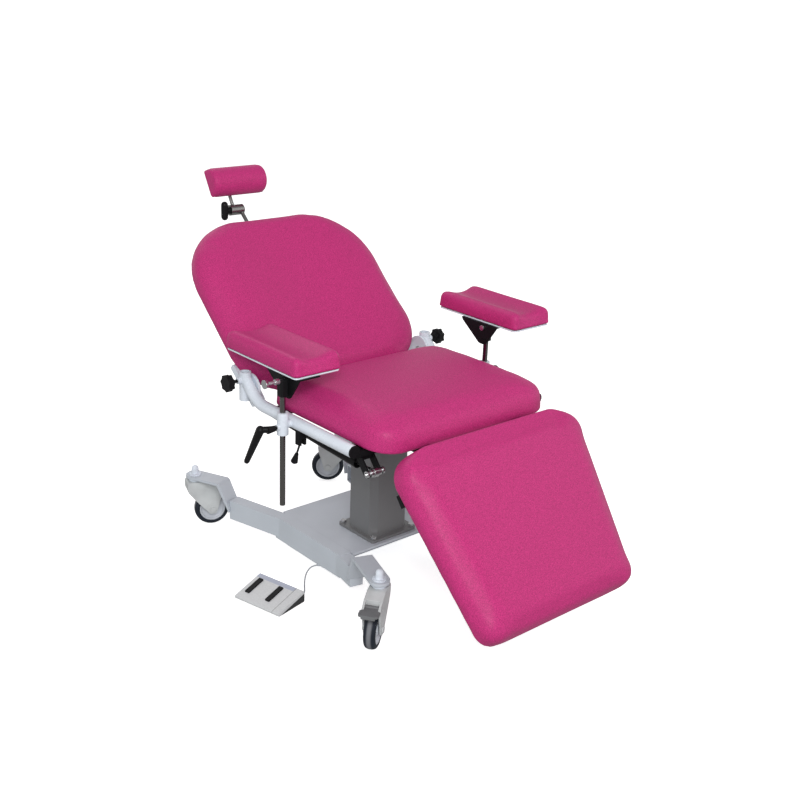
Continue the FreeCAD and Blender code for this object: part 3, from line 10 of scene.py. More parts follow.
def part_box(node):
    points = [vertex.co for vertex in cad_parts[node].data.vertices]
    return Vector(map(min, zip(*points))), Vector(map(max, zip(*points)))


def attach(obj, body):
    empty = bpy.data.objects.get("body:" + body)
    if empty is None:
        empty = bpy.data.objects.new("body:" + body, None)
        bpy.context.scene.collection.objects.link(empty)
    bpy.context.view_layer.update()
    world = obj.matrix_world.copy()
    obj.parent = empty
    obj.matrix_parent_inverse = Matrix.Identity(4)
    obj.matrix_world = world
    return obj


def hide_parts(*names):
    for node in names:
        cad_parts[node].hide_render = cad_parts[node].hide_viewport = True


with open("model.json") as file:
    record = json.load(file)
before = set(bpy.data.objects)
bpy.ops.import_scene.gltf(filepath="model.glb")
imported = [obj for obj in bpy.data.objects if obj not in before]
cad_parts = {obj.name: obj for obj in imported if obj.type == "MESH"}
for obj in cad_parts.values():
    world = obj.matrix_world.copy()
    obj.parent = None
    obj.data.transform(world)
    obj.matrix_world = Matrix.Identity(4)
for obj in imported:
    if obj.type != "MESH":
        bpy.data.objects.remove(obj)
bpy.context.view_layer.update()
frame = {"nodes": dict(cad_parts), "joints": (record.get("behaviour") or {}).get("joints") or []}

bl_info = {
    "name": "EEG chair",
    "version": (1, 0, 0),
    "blender": (4, 5, 0),
    "location": "3D View > Sidebar > EEG chair",
    "description": "Dresses the packed EEG chair with upholstery, finishes, its lead and a photo stage",
    "category": "Object",
}

NODES = frame["nodes"]
SIDES = ("right", "left")
CASTORS = ("rear_right", "rear_left", "front_right", "front_left")
UP = Vector((0.0, 0.0, 1.0))
REARWARD = Vector((0.0, 1.0, 0.0))

# Lengths are in metres and turns in degrees, all in the chair's own frame.
# The foot switch: where it lies, and the lines between the colours of its shell
SWITCH_PLACE = (-0.345, 0.009, 0.0)
SWITCH_TURN = -76.4
SWITCH_STRIP = 0.0325
SWITCH_PANEL = 0.0507
SWITCH_SLOPE = 0.2449
SWITCH_MIDDLE = 0.021
SWITCH_LINE = 0.0006
SWITCH_SEAM = (0.0002, 0.0009)
SWITCH_SKIRT = (0.0075, 0.0082)
STRIP_BLUE_GREY = (0.40, 0.43, 0.52)
SEAM_GREY = (0.10, 0.10, 0.10)
SKIRT_BLACK = (0.012, 0.012, 0.013)
BRAKE_GREY = (0.15, 0.155, 0.16)
LEAD_GREY = (0.30, 0.31, 0.33)
POST_CHROME = (0.15, 0.145, 0.14)
DARK_STEEL = (0.24, 0.235, 0.23)
ZINC_STEEL = (0.55, 0.55, 0.56)
EDGE_ROUND = 0.0014


class ChairStageSettings(bpy.types.PropertyGroup):
    """Camera, floor and light."""

    camera_place: FloatVectorProperty(
        name="Camera place", description="Where the photographer stood", subtype="TRANSLATION", unit="LENGTH",
        default=(-1.824, -2.124, 1.515))
    camera_turn: FloatVectorProperty(
        name="Camera turn", description="The camera's rotation", subtype="EULER",
        default=tuple(math.radians(a) for a in (69.625, -2.1525, -40.8408)))
    lens: FloatProperty(name="Lens", description="Focal length on a 36 mm square", default=51.89)
    floor_colour: FloatVectorProperty(
        name="Floor", description="Colour of the studio floor", subtype="COLOR", default=(0.8, 0.8, 0.8))
    key_power: FloatProperty(
        name="Key light", description="Power of the main softbox", unit="POWER", default=126.0)
    fill_power: FloatProperty(
        name="Fill light", description="Power of the side and rear softboxes", unit="POWER", default=30.0)
    sky_strength: FloatProperty(name="Sky", description="Strength of the even studio light", default=0.48)
    ground_strength: FloatProperty(
        name="Ground", description="Share of the studio light that comes from below", default=0.42)
    floor_glow: FloatProperty(
        name="Floor glow", description="How far the floor is washed out to white", default=0.72)


class ChairUpholsterySettings(bpy.types.PropertyGroup):
    """Magenta vinyl and its padding."""

    colour: FloatVectorProperty(
        name="Vinyl", description="Colour of the vinyl", subtype="COLOR", default=(0.445, 0.028, 0.156))
    grain: FloatProperty(
        name="Grain", description="Size of one pebble of the vinyl's grain", unit="LENGTH", default=0.0021)
    voxel: FloatProperty(
        name="Mesh size", description="Mesh size of the large pads", unit="LENGTH", default=0.006)
    pressure: FloatProperty(name="Pressure", description="How hard the stuffing pushes", default=3.0)
    swell: FloatProperty(
        name="Swell", description="Furthest that the cover may move while it fills", unit="LENGTH",
        default=0.006)
    steps: IntProperty(name="Steps", description="Steps of the cloth simulation", default=18)


class ChairFinishSettings(bpy.types.PropertyGroup):
    """Colours of the frame, base and fittings."""

    frame_white: FloatVectorProperty(
        name="Frame", description="Bluish white powder coat", subtype="COLOR", default=(0.68, 0.73, 0.80))
    base_grey: FloatVectorProperty(
        name="Base", description="Light grey powder coat", subtype="COLOR", default=(0.50, 0.54, 0.59))
    column_grey: FloatVectorProperty(
        name="Column", description="Satin grey of the lift column", subtype="COLOR",
        default=(0.165, 0.168, 0.172))
    castor_grey: FloatVectorProperty(
        name="Castor forks", description="Warm grey of the castor forks", subtype="COLOR",
        default=(0.52, 0.54, 0.545))
    black: FloatVectorProperty(
        name="Black", description="Knobs, levers and caps", subtype="COLOR", default=(0.008, 0.008, 0.009))
    tyre: FloatVectorProperty(
        name="Tyres", description="Dark rubber of the wheels", subtype="COLOR", default=(0.012, 0.016, 0.024))
    worn_tyre: FloatVectorProperty(
        name="Worn tread", description="Paler rubber in the middle of the tread", subtype="COLOR",
        default=(0.17, 0.175, 0.19))
    rim: FloatVectorProperty(
        name="Rims", description="Pale wheel discs", subtype="COLOR", default=(0.50, 0.525, 0.57))
    shell: FloatVectorProperty(
        name="Foot switch", description="Pale shell of the foot switch", subtype="COLOR",
        default=(0.58, 0.59, 0.60))


def ramp(value, start, end):
    """How far a value has gone from a start to an end, held between 0 and 1."""
    return min(max((value - start) / (end - start), 0.0), 1.0)


# Materials
def new_finish(name, colour, roughness, metallic=0.0):
    """A material with its shader's plain sockets set."""
    material = bpy.data.materials.new(name)
    material.use_nodes = True
    shader = material.node_tree.nodes["Principled BSDF"]
    shader.inputs["Base Color"].default_value = (*colour, 1.0)
    shader.inputs["Roughness"].default_value = roughness
    shader.inputs["Metallic"].default_value = metallic
    return material, material.node_tree, shader


def place_on_object(tree):
    return tree.nodes.new("ShaderNodeTexCoord").outputs["Object"]


def noise(tree, place, scale, detail):
    node = tree.nodes.new("ShaderNodeTexNoise")
    node.inputs["Scale"].default_value = scale
    node.inputs["Detail"].default_value = detail
    tree.links.new(place, node.inputs["Vector"])
    return node.outputs["Fac"]


def cells(tree, place, scale):
    node = tree.nodes.new("ShaderNodeTexVoronoi")
    node.inputs["Scale"].default_value = scale
    tree.links.new(place, node.inputs["Vector"])
    return node.outputs["Distance"]


def remap(tree, value, low, high, start=0.3, end=0.7):
    node = tree.nodes.new("ShaderNodeMapRange")
    node.inputs["From Min"].default_value = start
    node.inputs["From Max"].default_value = end
    node.inputs["To Min"].default_value = low
    node.inputs["To Max"].default_value = high
    tree.links.new(value, node.inputs["Value"])
    return node.outputs["Result"]


def shades(tree, value, colour, dark, light):
    """A colour that runs from a darker to a lighter shade of itself."""
    ramp = tree.nodes.new("ShaderNodeValToRGB")
    ends = ramp.color_ramp.elements
    ends[0].position = 0.3
    ends[1].position = 0.7
    ends[0].color = (*[c * dark for c in colour], 1.0)
    ends[1].color = (*[min(c * light, 1.0) for c in colour], 1.0)
    tree.links.new(value, ramp.inputs["Fac"])
    return ramp.outputs["Color"]


def soft_edges(tree):
    """Normals that round off a piece's sharp edges."""
    node = tree.nodes.new("ShaderNodeBevel")
    node.samples = 6
    node.inputs["Radius"].default_value = EDGE_ROUND
    return node.outputs["Normal"]


def bump(tree, shader, height, depth, strength, rounded=True):
    node = tree.nodes.new("ShaderNodeBump")
    if rounded:
        tree.links.new(soft_edges(tree), node.inputs["Normal"])
    node.inputs["Distance"].default_value = depth
    node.inputs["Strength"].default_value = strength
    tree.links.new(height, node.inputs["Height"])
    tree.links.new(node.outputs["Normal"], shader.inputs["Normal"])


def powder_coat(name, colour, roughness):
    """Baked paint: slight orange peel, faint smudges in its gloss."""
    material, tree, shader = new_finish(name, colour, roughness)
    place = place_on_object(tree)
    smudges = noise(tree, place, 9.0, 4.0)
    tree.links.new(shades(tree, smudges, colour, 0.96, 1.03), shader.inputs["Base Color"])
    tree.links.new(remap(tree, noise(tree, place, 40.0, 3.0), roughness - 0.05, roughness + 0.08),
                   shader.inputs["Roughness"])
    shader.inputs["Coat Weight"].default_value = 0.25
    shader.inputs["Coat Roughness"].default_value = 0.18
    bump(tree, shader, noise(tree, place, 420.0, 1.0), 0.0002, 0.25)
    return material


def moulded(name, colour, roughness, gloss=0.5):
    """Moulded plastic with a fine spark-eroded texture."""
    material, tree, shader = new_finish(name, colour, roughness)
    shader.inputs["Specular IOR Level"].default_value = gloss
    place = place_on_object(tree)
    tree.links.new(shades(tree, noise(tree, place, 25.0, 3.0), colour, 0.9, 1.1), shader.inputs["Base Color"])
    tree.links.new(remap(tree, noise(tree, place, 160.0, 2.0), roughness - 0.07, roughness + 0.07),
                   shader.inputs["Roughness"])
    bump(tree, shader, noise(tree, place, 1500.0, 1.0), 0.0001, 0.5)
    return material


def bright_metal(name, colour, roughness, streaks):
    """Plated metal: streaky gloss along the drawing direction."""
    material, tree, shader = new_finish(name, colour, roughness, 1.0)
    stretch = tree.nodes.new("ShaderNodeMapping")
    stretch.inputs["Scale"].default_value = streaks
    tree.links.new(place_on_object(tree), stretch.inputs["Vector"])
    grain = noise(tree, stretch.outputs["Vector"], 60.0, 3.0)
    tree.links.new(remap(tree, grain, roughness * 0.7, roughness * 1.4), shader.inputs["Roughness"])
    tree.links.new(shades(tree, grain, colour, 0.94, 1.04), shader.inputs["Base Color"])
    tree.links.new(soft_edges(tree), shader.inputs["Normal"])
    return material


def math_step(tree, operation, first, second, third=0.0):
    """One sum on sockets or plain numbers."""
    node = tree.nodes.new("ShaderNodeMath")
    node.operation = operation
    for socket, value in zip(node.inputs, (first, second, third)):
        if isinstance(value, float):
            socket.default_value = value
        else:
            tree.links.new(value, socket)
    return node.outputs["Value"]


def blend(tree, share, first, second):
    """One colour laid over another where the share is 1."""
    node = tree.nodes.new("ShaderNodeMix")
    node.data_type = "RGBA"
    tree.links.new(share, node.inputs["Factor"])
    for socket, value in ((node.inputs[6], first), (node.inputs[7], second)):
        if isinstance(value, tuple):
            socket.default_value = (*value, 1.0)
        else:
            tree.links.new(value, socket)
    return node.outputs[2]


def switch_moulding(name, colour):
    """The foot switch's shell: a blue-grey strip along its high edge, an end panel and a dark skirt."""
    material, tree, shader = new_finish(name, colour, 0.42)
    own = tree.nodes.new("ShaderNodeMapping")
    own.vector_type = "TEXTURE"
    own.inputs["Location"].default_value = SWITCH_PLACE
    own.inputs["Rotation"].default_value = (0.0, 0.0, math.radians(SWITCH_TURN))
    tree.links.new(place_on_object(tree), own.inputs["Vector"])
    split = tree.nodes.new("ShaderNodeSeparateXYZ")
    tree.links.new(own.outputs["Vector"], split.inputs["Vector"])
    across, along, up = (split.outputs[axis] for axis in "XYZ")
    top = shades(tree, noise(tree, own.outputs["Vector"], 200.0, 3.0), colour, 0.94, 1.05)
    high_edge = remap(tree, along, 0.0, 1.0, SWITCH_STRIP, SWITCH_STRIP + SWITCH_LINE)
    panel = remap(tree, across, 1.0, 0.0, SWITCH_PANEL, SWITCH_PANEL + SWITCH_LINE)
    top = blend(tree, math_step(tree, "MULTIPLY", high_edge, panel), top, STRIP_BLUE_GREY)
    from_seam = math_step(tree, "ABSOLUTE", math_step(tree, "SUBTRACT", across, SWITCH_PANEL), 0.0)
    top = blend(tree, remap(tree, from_seam, 1.0, 0.0, *SWITCH_SEAM), top, SEAM_GREY)
    surface = math_step(tree, "MULTIPLY_ADD", along, SWITCH_SLOPE, SWITCH_MIDDLE)
    below = math_step(tree, "SUBTRACT", surface, up)
    top = blend(tree, remap(tree, below, 0.0, 1.0, *SWITCH_SKIRT), top, SKIRT_BLACK)
    tree.links.new(top, shader.inputs["Base Color"])
    bump(tree, shader, noise(tree, own.outputs["Vector"], 1500.0, 1.0), 0.0001, 0.5)
    return material


def rubber(name, colour, roughness=0.6):
    """Dense rubber with dusty patches, worn paler where its mesh says so."""
    material, tree, shader = new_finish(name, colour, roughness)
    place = place_on_object(tree)
    shader.inputs["Specular IOR Level"].default_value = 0.2
    worn = tree.nodes.new("ShaderNodeAttribute")
    worn.attribute_name = "wear"
    fresh = shades(tree, noise(tree, place, 70.0, 5.0), colour, 0.85, 1.3)
    tread = tuple(bpy.context.scene.chair_finish.worn_tyre)
    tree.links.new(blend(tree, worn.outputs["Fac"], fresh, tread), shader.inputs["Base Color"])
    tree.links.new(remap(tree, noise(tree, place, 220.0, 2.0), roughness - 0.1, roughness + 0.1),
                   shader.inputs["Roughness"])
    bump(tree, shader, noise(tree, place, 900.0, 2.0), 0.0001, 0.4)
    return material


def vinyl_cover():
    """Magenta upholstery vinyl: a fine speckled grain with a soft sheen."""
    upholstery = bpy.context.scene.chair_upholstery
    colour = tuple(upholstery.colour)
    material, tree, shader = new_finish("magenta_vinyl", colour, 0.5)
    place = place_on_object(tree)
    speckle = noise(tree, place, 1.0 / upholstery.grain, 2.0)
    tree.links.new(shades(tree, speckle, colour, 0.72, 1.32), shader.inputs["Base Color"])
    pebbles = cells(tree, place, 1.0 / upholstery.grain)
    tree.links.new(remap(tree, pebbles, 0.40, 0.52), shader.inputs["Roughness"])
    shader.inputs["Specular IOR Level"].default_value = 0.18
    bump(tree, shader, pebbles, 0.0003, 0.3, rounded=False)
    return material


FINISHES = {}


def finish(name):
    """The chair's materials, each made once."""
    if not FINISHES:
        chair = bpy.context.scene.chair_finish
        white, black = tuple(chair.frame_white), tuple(chair.black)
        FINISHES.update(
            vinyl=vinyl_cover(),
            frame_white=powder_coat("frame_white_coat", white, 0.28),
            base_grey=powder_coat("base_grey_coat", tuple(chair.base_grey), 0.36),
            column_grey=powder_coat("column_grey_satin", tuple(chair.column_grey), 0.34),
            black_metal=moulded("black_satin_coat", black, 0.45, 0.1),
            black_plastic=moulded("black_moulding", black, 0.45, 0.12),
            castor_grey=moulded("castor_grey_moulding", tuple(chair.castor_grey), 0.4),
            brake_grey=moulded("brake_grey_moulding", BRAKE_GREY, 0.45, 0.3),
            cover_white=moulded("cover_white_moulding", white, 0.25),
            shell_grey=switch_moulding("shell_grey_moulding", tuple(chair.shell)),
            rim=moulded("rim_grey_moulding", tuple(chair.rim), 0.4),
            tyre=rubber("tyre_rubber", tuple(chair.tyre)),
            lead=rubber("lead_sheath", LEAD_GREY, 0.5),
            chrome=bright_metal("post_chrome", POST_CHROME, 0.14, (1.0, 1.0, 0.05)),
            dark_steel=bright_metal("dark_steel", DARK_STEEL, 0.26, (1.0, 0.1, 0.1)),
            steel=bright_metal("zinc_steel", ZINC_STEEL, 0.3, (0.2, 1.0, 1.0)),
        )
    return FINISHES[name]


# Shared modelling steps
def add_piece(name, mesh, body, slot, node=None):
    """Put a mesh in the scene as a piece that rides on a body."""
    piece = bpy.data.objects.new(name, mesh)
    bpy.context.scene.collection.objects.link(piece)
    mesh.materials.append(finish(slot))
    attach(piece, body)
    if node:
        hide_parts(node)
    return piece


def to_mesh(name, bm, smooth=True):
    mesh = bpy.data.meshes.new(name)
    bmesh.ops.recalc_face_normals(bm, faces=bm.faces)
    bm.to_mesh(mesh)
    bm.free()
    for face in mesh.polygons:
        face.use_smooth = smooth
    return mesh


def evaluated_mesh(piece):
    graph = bpy.context.evaluated_depsgraph_get()
    return bpy.data.meshes.new_from_object(piece.evaluated_get(graph))


def merged_copy(node):
    """A CAD node's mesh as one closed bmesh."""
    bm = bmesh.new()
    bm.from_mesh(NODES[node].data)
    bmesh.ops.remove_doubles(bm, verts=bm.verts, dist=1e-5)
    return bm


def cut_away(bm, place, normal):
    """Cut off what lies on the normal's side of a plane, and close the cut."""
    everything = bm.verts[:] + bm.edges[:] + bm.faces[:]
    cut = bmesh.ops.bisect_plane(bm, geom=everything, plane_co=place, plane_no=normal, clear_outer=True)
    rim = [e for e in cut["geom_cut"] if isinstance(e, bmesh.types.BMEdge)]
    bmesh.ops.holes_fill(bm, edges=rim)


def remeshed(bm, name, voxel):
    """A shape as an even mesh, which the stuffing needs."""
    mesh = bpy.data.meshes.new(name)
    bm.to_mesh(mesh)
    bm.free()
    holder = bpy.data.objects.new("holder", mesh)
    bpy.context.scene.collection.objects.link(holder)
    evener = holder.modifiers.new("evener", "REMESH")
    evener.mode = "VOXEL"
    evener.voxel_size = voxel
    evener.use_smooth_shade = True
    result = evaluated_mesh(holder)
    bpy.data.objects.remove(holder)
    return result


def smoothed(bm, verts, rounds):
    for _ in range(rounds):
        bmesh.ops.smooth_vert(
            bm, verts=verts, factor=0.5, use_axis_x=True, use_axis_y=True, use_axis_z=True)


BOARD_ROUNDS = 2
INSET_SHARE = 0.4


def eased(mesh, inset, rounds, on_board):
    """Draw a mesh in by a little and round off its creases, less so where it lies on its board."""
    bm = bmesh.new()
    bm.from_mesh(mesh)
    bm.normal_update()
    for v in bm.verts:
        v.co -= v.normal * inset
    smoothed(bm, bm.verts, BOARD_ROUNDS)
    smoothed(bm, [v for v in bm.verts if not on_board(v.co)], rounds - BOARD_ROUNDS)
    bm.to_mesh(mesh)
    bm.free()
    return mesh


def stuffed(mesh, pinned, swell):
    """Fill a cover with cloth pressure: pinned points stay on their board, none goes past the swell."""
    upholstery = bpy.context.scene.chair_upholstery
    start = [v.co.copy() for v in mesh.vertices]
    holder = bpy.data.objects.new("holder", mesh)
    scene = bpy.context.scene
    scene.collection.objects.link(holder)
    board = holder.vertex_groups.new(name="board")
    board.add([i for i, place in enumerate(start) if pinned(place)], 1.0, "REPLACE")
    stuffing = holder.modifiers.new("stuffing", "CLOTH")
    stuffing.settings.quality = 4
    stuffing.settings.mass = 0.3
    stuffing.settings.tension_stiffness = 20.0
    stuffing.settings.compression_stiffness = 20.0
    stuffing.settings.bending_stiffness = 2.0
    stuffing.settings.use_pressure = True
    stuffing.settings.uniform_pressure_force = upholstery.pressure
    stuffing.settings.effector_weights.gravity = 0.0
    stuffing.settings.vertex_group_mass = "board"
    stuffing.collision_settings.use_collision = False
    stuffing.point_cache.frame_start = 1
    stuffing.point_cache.frame_end = upholstery.steps
    for step in range(1, upholstery.steps + 1):
        scene.frame_set(step)
    filled = evaluated_mesh(holder)
    scene.frame_set(1)
    bpy.data.objects.remove(holder)
    for v, before in zip(filled.vertices, start):
        move = v.co - before
        if move.length > swell:
            v.co = before + move.normalized() * swell
    return filled


def upholstered(name, node, body, bm, voxel, under, normal, swell, rounds, shape=None):
    """A vinyl pad that stands for a CAD node: remeshed, eased, stuffed, shaped and subdivided."""
    def on_board(place):
        return (place - under).dot(normal) < 2 * voxel

    mesh = eased(remeshed(bm, name, voxel), swell * INSET_SHARE, rounds, on_board)
    mesh = stuffed(mesh, on_board, swell)
    bm = bmesh.new()
    bm.from_mesh(mesh)
    smoothed(bm, [v for v in bm.verts if not on_board(v.co)], rounds)
    if shape:
        bm.normal_update()
        shape(bm)
    piece = add_piece(name, to_mesh(name, bm), body, "vinyl", node)
    smoother = piece.modifiers.new("smoother", "SUBSURF")
    smoother.levels = 1
    smoother.render_levels = 1
    return piece


# The stage; a band runs between two heights on a sphere of radius 1
FLOOR_HALF = 60.0
LIGHT_AIM = Vector((0.0, 0.0, 0.55))
HORIZON_STRENGTH = 1.1
HORIZON_BAND = (0.06, 0.25)
GROUND_BAND = (-0.14, -0.05)


class CHAIR_OT_stage(bpy.types.Operator):
    """Set the camera, a pale floor and soft studio light"""

    bl_idname = "chair.stage"
    bl_label = "Stage"

    def execute(self, context):
        stage = context.scene.chair_stage
        context.scene.view_settings.view_transform = "Standard"
        self.set_camera(context.scene, stage)
        self.lay_floor(context.scene, stage)
        self.hang_lights(context.scene, stage)
        self.wrap_in_sky(context.scene, stage)
        return {"FINISHED"}

    def set_camera(self, scene, stage):
        lens = bpy.data.cameras.new("photo_camera")
        lens.lens = stage.lens
        lens.sensor_width = 36.0
        camera = bpy.data.objects.new("photo_camera", lens)
        camera.location = stage.camera_place
        camera.rotation_euler = stage.camera_turn
        scene.collection.objects.link(camera)
        scene.camera = camera

    def lay_floor(self, scene, stage):
        """A wide pale floor, washed out to white, that throws no light on the chair."""
        bm = bmesh.new()
        bmesh.ops.create_grid(bm, x_segments=8, y_segments=8, size=FLOOR_HALF)
        floor = bpy.data.objects.new("floor", to_mesh("floor", bm))
        colour = tuple(stage.floor_colour)
        material, tree, shader = new_finish("studio_floor", colour, 0.9)
        speckle = noise(tree, place_on_object(tree), 3.0, 4.0)
        tree.links.new(shades(tree, speckle, colour, 0.99, 1.01), shader.inputs["Base Color"])
        shader.inputs["Emission Color"].default_value = (1.0, 1.0, 1.0, 1.0)
        shader.inputs["Emission Strength"].default_value = stage.floor_glow
        floor.data.materials.append(material)
        floor.visible_diffuse = False
        floor.visible_glossy = False
        scene.collection.objects.link(floor)

    def hang_lights(self, scene, stage):
        softboxes = (
            ("key_light", (-2.3, -2.9, 2.8), 1.6, stage.key_power),
            ("fill_light", (3.4, -2.2, 2.4), 3.0, stage.fill_power),
            ("rim_light", (0.6, 3.4, 3.2), 2.6, stage.fill_power),
        )
        for name, place, size, power in softboxes:
            light = bpy.data.lights.new(name, "AREA")
            light.shape = "SQUARE"
            light.size = size
            light.energy = power
            softbox = bpy.data.objects.new(name, light)
            softbox.location = place
            softbox.rotation_euler = (LIGHT_AIM - Vector(place)).to_track_quat("-Z", "Y").to_euler()
            scene.collection.objects.link(softbox)

    def wrap_in_sky(self, scene, stage):
        """Even light all round: white behind the floor's far edge, softer above, dim from below."""
        world = bpy.data.worlds.new("studio")
        world.use_nodes = True
        tree = world.node_tree
        sky = tree.nodes["Background"]
        sky.inputs["Color"].default_value = (1.0, 1.0, 1.0, 1.0)
        heading = tree.nodes.new("ShaderNodeSeparateXYZ")
        around = tree.nodes.new("ShaderNodeTexCoord").outputs["Generated"]
        tree.links.new(around, heading.inputs["Vector"])
        above = remap(tree, heading.outputs["Z"], HORIZON_STRENGTH, stage.sky_strength, *HORIZON_BAND)
        below = remap(tree, heading.outputs["Z"], stage.ground_strength, 1.0, *GROUND_BAND)
        tree.links.new(math_step(tree, "MULTIPLY", above, below), sky.inputs["Strength"])
        scene.world = world


# The foot switch's lead: its route from the control box to the switch
LEAD_ROUTE = (
    (-0.1803, 0.0205, 0.0433), (-0.196, 0.027, 0.042), (-0.206, 0.031, 0.0335), (-0.2135, 0.0325, 0.0205),
    (-0.221, 0.027, 0.0085), (-0.2315, 0.014, 0.003), (-0.244, -0.004, 0.0027), (-0.257, -0.021, 0.0065),
    (-0.270, -0.0335, 0.0105), (-0.286, -0.039, 0.012),
)
LEAD_DIAMETER = 0.004


class CHAIR_OT_lead(bpy.types.Operator):
    """Lay the foot switch's lead from the control box down to the switch"""

    bl_idname = "chair.lead"
    bl_label = "Lead"

    def execute(self, context):
        curve = bpy.data.curves.new("switch_lead", "CURVE")
        curve.dimensions = "3D"
        curve.bevel_depth = LEAD_DIAMETER / 2
        curve.bevel_resolution = 6
        curve.use_fill_caps = True
        spline = curve.splines.new("NURBS")
        spline.points.add(len(LEAD_ROUTE) - 1)
        for knot, place in zip(spline.points, LEAD_ROUTE):
            knot.co = (*place, 1.0)
        spline.order_u = 3
        spline.use_endpoint_u = True
        spline.resolution_u = 12
        lead = bpy.data.objects.new("switch_lead", curve)
        context.scene.collection.objects.link(lead)
        curve.materials.append(finish("lead"))
        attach(lead, "base")
        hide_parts("pedal_cord")
        return {"FINISHED"}


def corners(node):
    low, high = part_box(node)
    return Vector(low), Vector(high)


def joint_turn(angle):
    """The turn of a pad about the chair's cross axis, from lying flat to its stored pose."""
    return Matrix.Rotation(math.radians(angle), 3, "X")


# The main pads; a span runs from where a change starts to where it is full
MAIN_ROUNDS = 14
SEAT_CROWN = 0.010
SEAT_CROWN_REACH = 0.16
SEAT_LIP_DROP = 0.004
SEAT_LIP_DEPTH = (0.06, 0.01)
SEAT_LIP_HEIGHT = (0.03, 0.005)
BACK_HINGE = Vector((0.0, 0.175, 0.516))
BACK_ANGLE = 41.7
BACK_UNDERSIDE = -0.021
BACK_HOLLOW_DEPTH = 0.012
BACK_HOLLOW_HALF = 0.2
BACK_HOLLOW_SPAN = (0.02, 0.47)
BACK_FACE = 0.3
LEG_HINGE = Vector((0.0, -0.346, 0.486))
LEG_ANGLE = 50.7
LEG_UNDERSIDE = 0.009
LEG_REAR = 0.004
LEG_REAR_FACING = (0.35, 0.75)
LEG_REAR_TOP = (0.074, 0.060)
LEG_REAR_BOTTOM = (0.010, 0.018)
LEG_REAR_SIDES = (0.262, 0.202)


class CHAIR_OT_main_pads(bpy.types.Operator):
    """Upholster the seat, the backrest and the leg rest"""

    bl_idname = "chair.main_pads"
    bl_label = "Main pads"

    def execute(self, context):
        upholstery = context.scene.chair_upholstery
        seat_under = corners("seat_pad")[0]
        back_out = joint_turn(BACK_ANGLE) @ UP
        back_under = BACK_HINGE + back_out * BACK_UNDERSIDE
        leg_out = joint_turn(LEG_ANGLE) @ UP
        leg_under = LEG_HINGE + leg_out * LEG_UNDERSIDE
        pads = (
            ("seat_cushion", "seat_pad", "seat", seat_under, UP, self.droop),
            ("backrest_cushion", "backrest_pad", "backrest", back_under, back_out, self.hollow),
            ("leg_cushion", "leg_pad", "leg_rest", leg_under, leg_out, self.fill_rear),
        )
        for name, node, body, under, normal, shape in pads:
            upholstered(name, node, body, merged_copy(node), upholstery.voxel, under, normal,
                        upholstery.swell, MAIN_ROUNDS, shape)
        return {"FINISHED"}

    def droop(self, bm):
        """Crown the seat's top, and let its front lip hang a little over its board."""
        low, high = corners("seat_pad")
        for v in bm.verts:
            share = ramp(v.co.z, low.z, high.z)
            along = ramp(v.co.y, low.y, high.y)
            inside = min(v.co.x - low.x, high.x - v.co.x, v.co.y - low.y)
            near_edge = ramp(inside, SEAT_CROWN_REACH, 0.0)
            v.co.z += SEAT_CROWN * share * (math.sin(math.pi * along) - near_edge * near_edge)
            ahead = ramp(v.co.y - low.y, *SEAT_LIP_DEPTH)
            under = ramp(v.co.z - low.z, *SEAT_LIP_HEIGHT)
            v.co.z -= SEAT_LIP_DROP * ahead * under

    def fill_rear(self, bm):
        """Fill out the leg rest's rear side, which lies against the seat's front."""
        out = joint_turn(LEG_ANGLE) @ UP
        rearward = joint_turn(LEG_ANGLE) @ REARWARD
        for v in bm.verts:
            facing = ramp(v.normal.dot(rearward), *LEG_REAR_FACING)
            height = (v.co - LEG_HINGE).dot(out)
            level = ramp(height, *LEG_REAR_TOP) * ramp(height, *LEG_REAR_BOTTOM)
            inside = ramp(abs(v.co.x), *LEG_REAR_SIDES)
            lag = LEG_REAR - (v.co - LEG_HINGE).dot(rearward)
            v.co += rearward * max(lag, 0.0) * facing * level * inside * inside * (3.0 - 2.0 * inside)

    def hollow(self, bm):
        """Deepen the wide soft hollow down the middle of the backrest."""
        out = joint_turn(BACK_ANGLE) @ UP
        up_back = joint_turn(BACK_ANGLE) @ REARWARD
        for v in bm.verts:
            if v.normal.dot(out) < BACK_FACE or abs(v.co.x) > BACK_HOLLOW_HALF:
                continue
            share = ramp((v.co - BACK_HINGE).dot(up_back), *BACK_HOLLOW_SPAN)
            across = math.cos(math.pi * v.co.x / (2 * BACK_HOLLOW_HALF)) ** 2
            v.co -= out * BACK_HOLLOW_DEPTH * across * math.sin(math.pi * share)


# The arm pads, on thin boards
ARM_BOARD = 0.004
ARM_BOARD_INSET = 0.0045
ARM_BOARD_CORNER = 0.010
ARM_BOARD_EDGE = 0.0009
ARM_BOARD_GAP = 0.0003
ARM_MESH = 0.004
ARM_SWELL = 0.5
ARM_ROUNDS = 12


